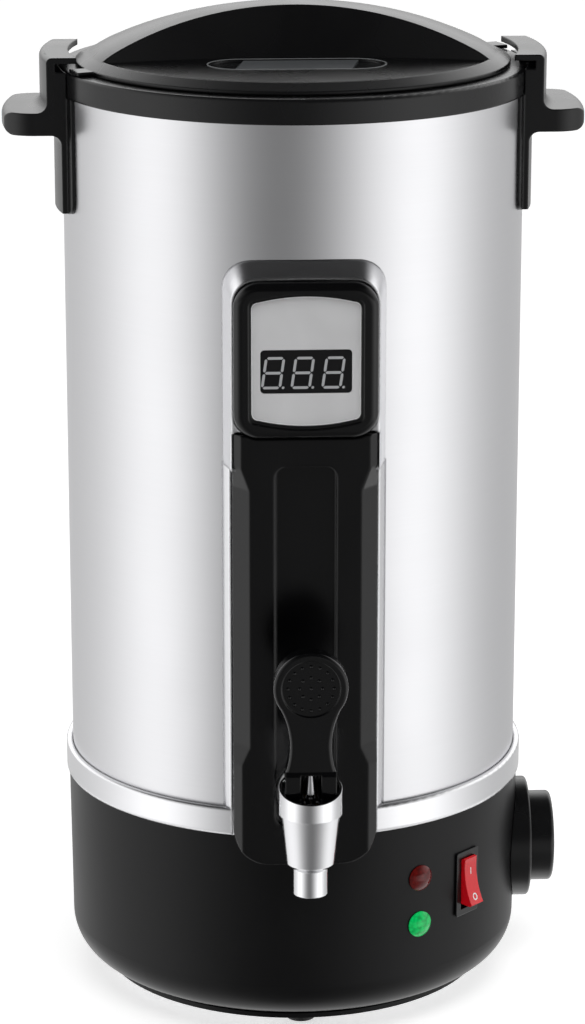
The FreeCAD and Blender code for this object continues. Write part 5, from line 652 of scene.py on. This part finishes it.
@dataclass
class Display(Assembly):
    """Display with three digits of seven unlit segments and a point each."""

    digit_height: float = 0.0141
    digit_width: float = 0.0087
    stroke: float = 0.00115
    gap: float = 0.00030
    slant: float = math.radians(8.0)
    centres: tuple[float, ...] = (-0.0142, -0.0015, 0.0117)
    drop: float = 0.0005
    proud: float = 0.00006
    inlay: float = 0.0003
    point_reach: float = 0.75
    point_sides: int = 16
    edge_width: float = 0.0004
    edge_rise: float = 0.00012

    def front_loop(self, plate: bpy.types.Object) -> list[Vector]:
        """Find the outer edge of a flat plate's front.

        Args:
            plate: plate that faces the front.

        Returns:
            The corners in order, anticlockwise as the front sees them.
        """
        shape = bmesh.new()
        shape.from_mesh(plate.data)
        bmesh.ops.remove_doubles(shape, verts=shape.verts, dist=WELD)
        level = min(vert.co.y for vert in shape.verts) + FLAT
        beside: dict[int, list[int]] = {}
        for edge in shape.edges:
            if [all(v.co.y < level for v in face.verts) for face in edge.link_faces].count(True) == 1:
                one, two = (vert.index for vert in edge.verts)
                beside.setdefault(one, []).append(two)
                beside.setdefault(two, []).append(one)
        shape.verts.ensure_lookup_table()
        start = max(beside, key=lambda index: shape.verts[index].co.z)
        loop = [start, beside[start][0]]
        while loop[-1] != start:
            loop.append(next(index for index in beside[loop[-1]] if index != loop[-2]))
        corners = [shape.verts[index].co.copy() for index in loop[:-1]]
        shape.free()
        area = sum(a.x * b.z - b.x * a.z for a, b in zip(corners, corners[1:] + corners[:1]))
        return corners if area > 0 else corners[::-1]

    def build_edge_highlight(self) -> None:
        """Build a pale line round the faceplate's edge: a painted highlight for the light on its bevel."""
        loop = self.front_loop(self.solid("display_faceplate"))
        count = len(loop)
        inner = []
        for index, corner in enumerate(loop):
            way = loop[(index + 1) % count] - loop[index - 1]
            inner.append(corner + Vector((-way.z, 0.0, way.x)).normalized() * self.edge_width)
        rise = Vector((0.0, -self.edge_rise, 0.0))
        rings = [[point - rise for point in loop], [point + rise for point in loop],
                 [point + rise for point in inner], [point - rise for point in inner]]
        faces = [(ring * count + index, ring * count + (index + 1) % count,
                  (ring + 1) % 4 * count + (index + 1) % count, (ring + 1) % 4 * count + index)
                 for ring in range(4) for index in range(count)]
        # This pale ribbon is a painted highlight along the faceplate's bevelled edge.
        line = mesh_piece("faceplate_edge_highlight", [point for ring in rings for point in ring], faces)
        self.settle(line, FACEPLATE_EDGE_HIGHLIGHT, "grey_plate")

    def strokes(self) -> list[list[Point]]:
        """Outlines of the seven segments about a digit's middle.

        Returns:
            One outline of six corners for each segment.
        """
        half_w = (self.digit_width - self.stroke) / 2
        half_h = (self.digit_height - self.stroke) / 2
        thick, gap = self.stroke / 2, self.gap
        outlines = []
        for level in (half_h, 0.0, -half_h):
            left, right = -half_w + gap, half_w - gap
            outlines.append([(left, level), (left + thick, level + thick), (right - thick, level + thick),
                             (right, level), (right - thick, level - thick), (left + thick, level - thick)])
        for side in (-half_w, half_w):
            for bottom, top in ((gap, half_h - gap), (-half_h + gap, -gap)):
                outlines.append([(side, bottom), (side + thick, bottom + thick), (side + thick, top - thick),
                                 (side, top), (side - thick, top - thick), (side - thick, bottom + thick)])
        return outlines

    def build(self) -> None:
        """Build the segments as thin resin inlays in the window, and the painted highlight round the
        faceplate's edge.
        """
        self.build_edge_highlight()
        low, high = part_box("display_window")
        middle = (low.z + high.z) / 2 - self.drop
        verts: list[tuple[float, float, float]] = []
        faces: list[tuple[int, ...]] = []
        for centre in self.centres:
            outlines = self.strokes()
            spot = (self.digit_width / 2 + self.stroke * self.point_reach,
                    -(self.digit_height - self.stroke) / 2)
            turns = [2 * math.pi * step / self.point_sides for step in range(self.point_sides)]
            outlines.append([(spot[0] + self.stroke / 2 * math.cos(turn),
                              spot[1] + self.stroke / 2 * math.sin(turn)) for turn in turns])
            for outline in outlines:
                first = len(verts)
                leaning = [(centre + x + z * math.tan(self.slant), middle + z) for x, z in outline]
                verts += [(x, low.y - self.proud, z) for x, z in leaning]
                verts += [(x, low.y + self.inlay, z) for x, z in leaning]
                size = len(outline)
                faces.append(tuple(range(first, first + size)))
                faces.append(tuple(range(first + 2 * size - 1, first + size - 1, -1)))
                faces += [(first + i, first + (i + 1) % size, first + size + (i + 1) % size,
                           first + size + i) for i in range(size)]
        digits = mesh_piece("digit_segments", verts, faces, smooth=False)
        self.settle(digits, SEGMENT, "digit_grey")

    def dress_all(self) -> None:
        """Dress the display."""
        self.wear(GLOSS_ABS, "display_bezel")
        self.wear(PLATE_FOIL, "display_faceplate")
        self.wear(WINDOW, "display_window")
        self.wear(GLOSS_ABS, "digit_display")
        self.wear(BOARD, "display_board", "control_board")


@dataclass
class Tap(Assembly):
    """Lever tap: chromed body, black lever with its dish of bumps, steel stem."""

    bump_rings: tuple[tuple[int, float], ...] = ((1, 0.0), (8, 0.0049), (16, 0.0099))
    bump_radius: float = 0.00085
    dish_level: float = 0.1882
    dish_depth: float = 0.001
    bump_turns: int = 14
    bump_rows: int = 4
    bump_foot: float = 0.0001
    stem_lift: float = 0.005
    reach: float = 0.155
    lever_half_depth: float = 0.0042

    def load_spring(self) -> None:
        """Give the spring its own copy of its mesh."""
        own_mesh(self.solid("stem_spring"))

    def build(self) -> None:
        """Build the grip bumps in the lever's dish."""
        self.load_spring()
        seat = -self.reach - self.lever_half_depth + self.dish_depth
        verts: list[tuple[float, float, float]] = []
        faces: list[tuple[int, ...]] = []
        for count, radius in self.bump_rings:
            for index in range(count):
                angle = 2 * math.pi * index / count + (math.pi / 2)
                self.add_bump(verts, faces, Vector((radius * math.cos(angle), seat,
                                                    self.dish_level + radius * math.sin(angle))))
        bumps = mesh_piece("lever_bumps", verts, faces)
        self.settle(bumps, LEVER_ABS, "black_lever", "lever_body")

    def add_bump(self, verts: list[tuple[float, float, float]], faces: list[tuple[int, ...]],
                 centre: Vector) -> None:
        """Add one low dome that faces the front.

        Args:
            verts: points so far.
            faces: faces so far.
            centre: middle of the dome's foot.
        """
        first, turns, rows = len(verts), self.bump_turns, self.bump_rows
        for row in range(rows):
            lift = math.sin(math.pi / 2 * row / rows)
            shrink = math.cos(math.pi / 2 * row / rows)
            for turn in range(turns):
                angle = 2 * math.pi * turn / turns
                verts.append((centre.x + self.bump_radius * shrink * math.cos(angle),
                              centre.y + self.bump_foot - self.bump_radius * lift,
                              centre.z + self.bump_radius * shrink * math.sin(angle)))
        verts.append((centre.x, centre.y - self.bump_radius, centre.z))
        for row in range(rows - 1):
            for turn in range(turns):
                here, after = first + row * turns, first + (row + 1) * turns
                ahead = (turn + 1) % turns
                faces.append((here + turn, here + ahead, after + ahead, after + turn))
        last = first + (rows - 1) * turns
        faces += [(last + turn, last + (turn + 1) % turns, first + rows * turns) for turn in range(turns)]
        faces.append(tuple(range(first + turns - 1, first - 1, -1)))

    def dress_all(self) -> None:
        """Dress the tap."""
        self.wear(TAP_CHROME, "tap_body")
        self.wear(ROSE_CHROME, "escutcheon")
        self.wear(LEVER_ABS, "tap_lever")
        self.wear(STEM_STEEL, "tap_stem", "tap_shank", "lever_pin")
        self.wear(BRASS, "tap_bonnet")
        self.wear(FASTENER_STEEL, "shank_nut", "stem_spring")
        self.wear(SILICONE, "seat_cup", "shank_washers")


@dataclass
class Controls(Assembly):
    """Pilot lamps, rocker switch with its I and O, and the thermostat knob."""

    switch_azimuth: float = math.radians(46.0)
    switch_level: float = 0.0649
    mark_height: float = 0.0032
    mark_stroke: float = 0.00055
    mark_spread: float = 0.0060
    bar_steps: int = 8
    ring_sides: int = 32
    ring_widths: Point = (0.85, 0.92)
    ink: float = 0.00005
    ray_start: float = 0.14

    def lay_on_rocker(self, points: Sequence[Point]) -> list[Vector]:
        """Drop points of a drawing on the rocker's face.

        Args:
            points: places across and above the switch's middle, in metres.

        Returns:
            The same points a film of ink above the rocker's face.
        """
        rocker = self.solid("switch_rocker")
        tree = BVHTree.FromPolygons([v.co for v in rocker.data.vertices],
                                    [tuple(p.vertices) for p in rocker.data.polygons])
        outward = Vector((math.sin(self.switch_azimuth), -math.cos(self.switch_azimuth), 0.0))
        across = Vector((math.cos(self.switch_azimuth), math.sin(self.switch_azimuth), 0.0))
        laid = []
        for x, z in points:
            start = outward * self.ray_start + across * x + Vector((0.0, 0.0, self.switch_level + z))
            hit = tree.ray_cast(start, -outward)[0]
            if hit is None:
                raise ValueError(f"no rocker under {x:.4f}, {z:.4f}")
            laid.append(hit + outward * self.ink)
        return laid

    def ribbon(self, inner: Sequence[Point], outer: Sequence[Point], closed: bool) -> tuple[
            list[Vector], list[tuple[int, ...]]]:
        """Ink between two lines on the rocker.

        Args:
            inner: points of the one line.
            outer: as many points of the other.
            closed: whether the ends meet.

        Returns:
            Points and faces.
        """
        points = self.lay_on_rocker(list(inner) + list(outer))
        count = len(inner)
        faces = [(i, (i + 1) % count, count + (i + 1) % count, count + i)
                 for i in range(count if closed else count - 1)]
        return points, faces

    def build(self) -> None:
        """Build the printed marks of the rocker."""
        half = self.mark_height / 2
        steps = [half * (1 - 2 * i / self.bar_steps) for i in range(self.bar_steps + 1)]
        bar, bar_faces = self.ribbon([(-self.mark_stroke / 2, self.mark_spread + z) for z in steps],
                                     [(self.mark_stroke / 2, self.mark_spread + z) for z in steps], False)
        angles = [2 * math.pi * i / self.ring_sides for i in range(self.ring_sides)]
        inside, outside = self.ring_widths
        small = half - self.mark_stroke
        ring, ring_faces = self.ribbon(
            [(small * inside * math.cos(a), -self.mark_spread + small * math.sin(a)) for a in angles],
            [(half * outside * math.cos(a), -self.mark_spread + half * math.sin(a)) for a in angles], True)
        start = len(bar)
        marks = mesh_piece("rocker_marks", bar + ring,
                           bar_faces + [tuple(start + i for i in face) for face in ring_faces])
        self.settle(marks, MARK_WHITE, "rocker_red", "rocker_body")

    def dress_all(self) -> None:
        """Dress the controls."""
        self.wear(LENS_RED, "lamp_lens_red")
        self.wear(LENS_GREEN, "lamp_lens_green")
        self.wear(KNOB_ABS, "switch_body", "control_knob", "dial_plate")
        self.wear(ROCKER_RED, "switch_rocker")
        self.wear(BASE_PP, "lamp_holders", "thermostat_body")
        self.wear(FASTENER_STEEL, "knob_shaft")


@dataclass
class Base(Assembly):
    """Base housing with its feet, cover, gland and the heater parts above it."""

    def dress_all(self) -> None:
        """Dress the base."""
        self.wear(BASE_PP, "base_housing", "cable_gland", "gland_nut")
        self.wear(FOOT_RUBBER, "rubber_feet")
        self.wear(TANK_STEEL, "base_plate")
        self.wear(FASTENER_STEEL, "base_screws")
        self.wear(BRASS, "board_standoffs")
        self.wear(ALUMINIUM, "heat_spreader")
        self.wear(SHEATH, "heating_element")
        self.wear(CERAMIC, "thermal_cutout")


# --- room --------------------------------------------------------------------------------------------------

@dataclass
class Studio:
    """Pale floor, soft light from all round with two broad bright sides, and the camera."""

    camera_place: tuple[float, float, float] = (-0.0780, -1.5910, 0.6780)
    camera_turn: tuple[float, float, float] = (74.0, 0.0, -2.8)
    lens: float = 125.1
    sensor: float = 36.0
    floor_radius: float = 9.0
    floor_sides: int = 96
    floor_tone: float = 0.86
    floor_glow: float = 0.6
    lamp_power: float = 14.0
    lamp_size: Point = (1.6, 1.0)
    lamp_place: tuple[float, float, float] = (0.2, -0.9, 1.7)
    lamp_aim: tuple[float, float, float] = (0.0, 0.0, 0.3)
    under_span: Point = (-0.50, -0.38)
    level_span: Point = (0.02, 0.20)
    zenith_span: Point = (0.45, 0.85)
    panel_strength: float = 2.0
    zenith: float = 0.025
    under_light: tuple[tuple[float, float], ...] = (
        (0.00, 0.62), (0.10, 0.62), (0.19, 0.66), (0.26, 0.66), (0.314, 0.60), (0.364, 0.385),
        (0.408, 0.24), (0.453, 0.13), (0.50, 0.10), (0.539, 0.11), (0.583, 0.18), (0.628, 0.29),
        (0.675, 0.465), (0.728, 0.62), (0.79, 0.68), (1.00, 0.62))
    low_light: tuple[tuple[float, float], ...] = (
        (0.00, 0.36), (0.10, 0.385), (0.19, 0.51), (0.25, 0.745), (0.29, 0.90), (0.33, 0.78),
        (0.38, 0.40), (0.43, 0.15), (0.48, 0.09), (0.52, 0.15), (0.57, 0.43), (0.63, 0.84),
        (0.68, 0.96), (0.73, 0.65), (0.79, 0.39), (0.86, 0.335), (1.00, 0.36))
    high_light: tuple[tuple[float, float], ...] = (
        (0.00, 0.84), (0.12, 0.80), (0.25, 0.80), (0.34, 0.30), (0.44, 0.02), (0.56, 0.02),
        (0.66, 0.20), (0.75, 0.72), (0.88, 0.80), (1.00, 0.84))

    def build_floor(self) -> None:
        """Build the pale floor; reflections look through it at the room's light."""
        count = self.floor_sides
        verts = [(self.floor_radius * math.cos(2 * math.pi * i / count),
                  self.floor_radius * math.sin(2 * math.pi * i / count), 0.0) for i in range(count)]
        floor = mesh_piece("studio_floor", verts, [tuple(range(count))], smooth=False)
        material = bpy.data.materials.new("pale_floor")
        material.use_nodes = True
        tree = material.node_tree
        tree.nodes.clear()
        paper = add_node(tree, "ShaderNodeBsdfDiffuse", {"Color": grey(self.floor_tone)})
        white = add_node(tree, "ShaderNodeEmission", {"Color": grey(1.0), "Strength": self.floor_glow})
        lit = add_node(tree, "ShaderNodeAddShader", links={0: paper.outputs[0], 1: white.outputs[0]})
        clear = add_node(tree, "ShaderNodeBsdfTransparent")
        path = add_node(tree, "ShaderNodeLightPath")
        seen = add_node(tree, "ShaderNodeMixShader",
                        links={0: path.outputs["Is Camera Ray"], 1: paper.outputs[0], 2: lit.outputs[0]})
        final = add_node(tree, "ShaderNodeMixShader",
                         links={0: path.outputs["Is Glossy Ray"], 1: seen.outputs[0], 2: clear.outputs[0]})
        add_node(tree, "ShaderNodeOutputMaterial", links={"Surface": final.outputs[0]})
        floor.data.materials.append(material)

    def build_room(self) -> None:
        """Build the light of the room.

        It has a dark front between two tall bright panels, and a dim ceiling.
        """
        world = bpy.data.worlds.new("studio_room")
        bpy.context.scene.world = world
        world.use_nodes = True
        tree = world.node_tree
        tree.nodes.clear()
        place = add_node(tree, "ShaderNodeTexCoord")
        axes = add_node(tree, "ShaderNodeSeparateXYZ", links={0: place.outputs["Generated"]})
        back = add_node(tree, "ShaderNodeMath", {"operation": "MULTIPLY", 1: -1.0}, {0: axes.outputs["Y"]})
        turn = add_node(tree, "ShaderNodeMath", {"operation": "ARCTAN2"},
                        {0: axes.outputs["X"], 1: back.outputs[0]})
        share = add_node(tree, "ShaderNodeMath", {"operation": "MULTIPLY_ADD", 1: 0.5 / math.pi, 2: 0.5},
                         {0: turn.outputs[0]})
        under = self.panels(tree, share.outputs[0], self.under_light)
        level = self.panels(tree, share.outputs[0], self.low_light)
        low = self.rise(tree, axes.outputs["Z"], self.under_span, under, level)
        high = self.panels(tree, share.outputs[0], self.high_light)
        sky = self.rise(tree, axes.outputs["Z"], self.level_span, low, high)
        ceiling = add_node(tree, "ShaderNodeRGB")
        ceiling.outputs[0].default_value = grey(self.zenith)
        whole = self.rise(tree, axes.outputs["Z"], self.zenith_span, sky, ceiling.outputs[0])
        room = add_node(tree, "ShaderNodeBackground", {"Strength": self.panel_strength}, {"Color": whole})
        white = add_node(tree, "ShaderNodeBackground", {"Color": grey(1.0), "Strength": 1.0})
        path = add_node(tree, "ShaderNodeLightPath")
        seen = add_node(tree, "ShaderNodeMixShader",
                        links={0: path.outputs["Is Camera Ray"], 1: room.outputs[0], 2: white.outputs[0]})
        add_node(tree, "ShaderNodeOutputWorld", links={"Surface": seen.outputs[0]})

    def panels(self, tree: bpy.types.NodeTree, share: bpy.types.NodeSocket,
               levels: Sequence[Point]) -> bpy.types.NodeSocket:
        """Soft light panels round the room.

        Args:
            tree: node tree of the world.
            share: place round the room, 0 at the back, 0.25 at -X, 0.5 in front and 0.75 at +X.
            levels: places round the room with their light.

        Returns:
            The colour socket.
        """
        ramp = add_node(tree, "ShaderNodeValToRGB",
                        {"stops": [(position, grey(level)) for position, level in levels]}, {0: share})
        ramp.color_ramp.interpolation = "B_SPLINE"
        return ramp.outputs[0]

    def rise(self, tree: bpy.types.NodeTree, level: bpy.types.NodeSocket, span: Point,
             below: bpy.types.NodeSocket, above: bpy.types.NodeSocket) -> bpy.types.NodeSocket:
        """Blend from one light to another with the height in the room.

        Args:
            tree: node tree of the world.
            level: sine of the height angle.
            span: where the blend starts and ends.
            below: light below the span.
            above: light above it.

        Returns:
            The colour socket.
        """
        share = add_node(tree, "ShaderNodeMapRange",
                         {"interpolation_type": "SMOOTHSTEP", "From Min": span[0], "From Max": span[1],
                          "To Min": 0.0, "To Max": 1.0}, {0: level})
        return add_node(tree, "ShaderNodeMix", {"data_type": "RGBA"},
                        {0: share.outputs[0], 6: below, 7: above}).outputs[2]

    def build_light(self) -> None:
        """Build the soft lamp above the front."""
        lamp = bpy.data.lights.new("top_softbox", "AREA")
        lamp.shape = "RECTANGLE"
        lamp.size, lamp.size_y = self.lamp_size
        lamp.energy = self.lamp_power
        holder = bpy.data.objects.new("top_softbox", lamp)
        bpy.context.scene.collection.objects.link(holder)
        holder.visible_glossy = False
        holder.location = self.lamp_place
        aim = Vector(self.lamp_aim) - Vector(holder.location)
        holder.rotation_euler = aim.to_track_quat("-Z", "Y").to_euler()

    def build_camera(self) -> None:
        """Build the camera."""
        camera = bpy.data.cameras.new("front_camera")
        camera.lens = self.lens
        camera.sensor_width = self.sensor
        camera.sensor_fit = "AUTO"
        holder = bpy.data.objects.new("front_camera", camera)
        bpy.context.scene.collection.objects.link(holder)
        holder.location = self.camera_place
        holder.rotation_euler = [math.radians(angle) for angle in self.camera_turn]
        bpy.context.scene.camera = holder

    def build(self) -> None:
        """Build the whole room."""
        bpy.context.scene.view_settings.view_transform = "Standard"
        self.build_room()
        self.build_floor()
        self.build_light()
        self.build_camera()


def main(frame: dict[str, Any]) -> None:
    """Build the room and every sub-assembly in order.

    Args:
        frame: the loaded frame.
    """
    Studio().build()
    for kind in (Drum, Lid, Handles, Column, Display, Tap, Controls, Base):
        assembly = kind(frame)
        assembly.build()
        assembly.dress_all()
        LOG.info("finished %s", kind.__name__)


if __name__ == "__main__":
    logging.basicConfig(level=logging.INFO)
    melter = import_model()
    main(melter)
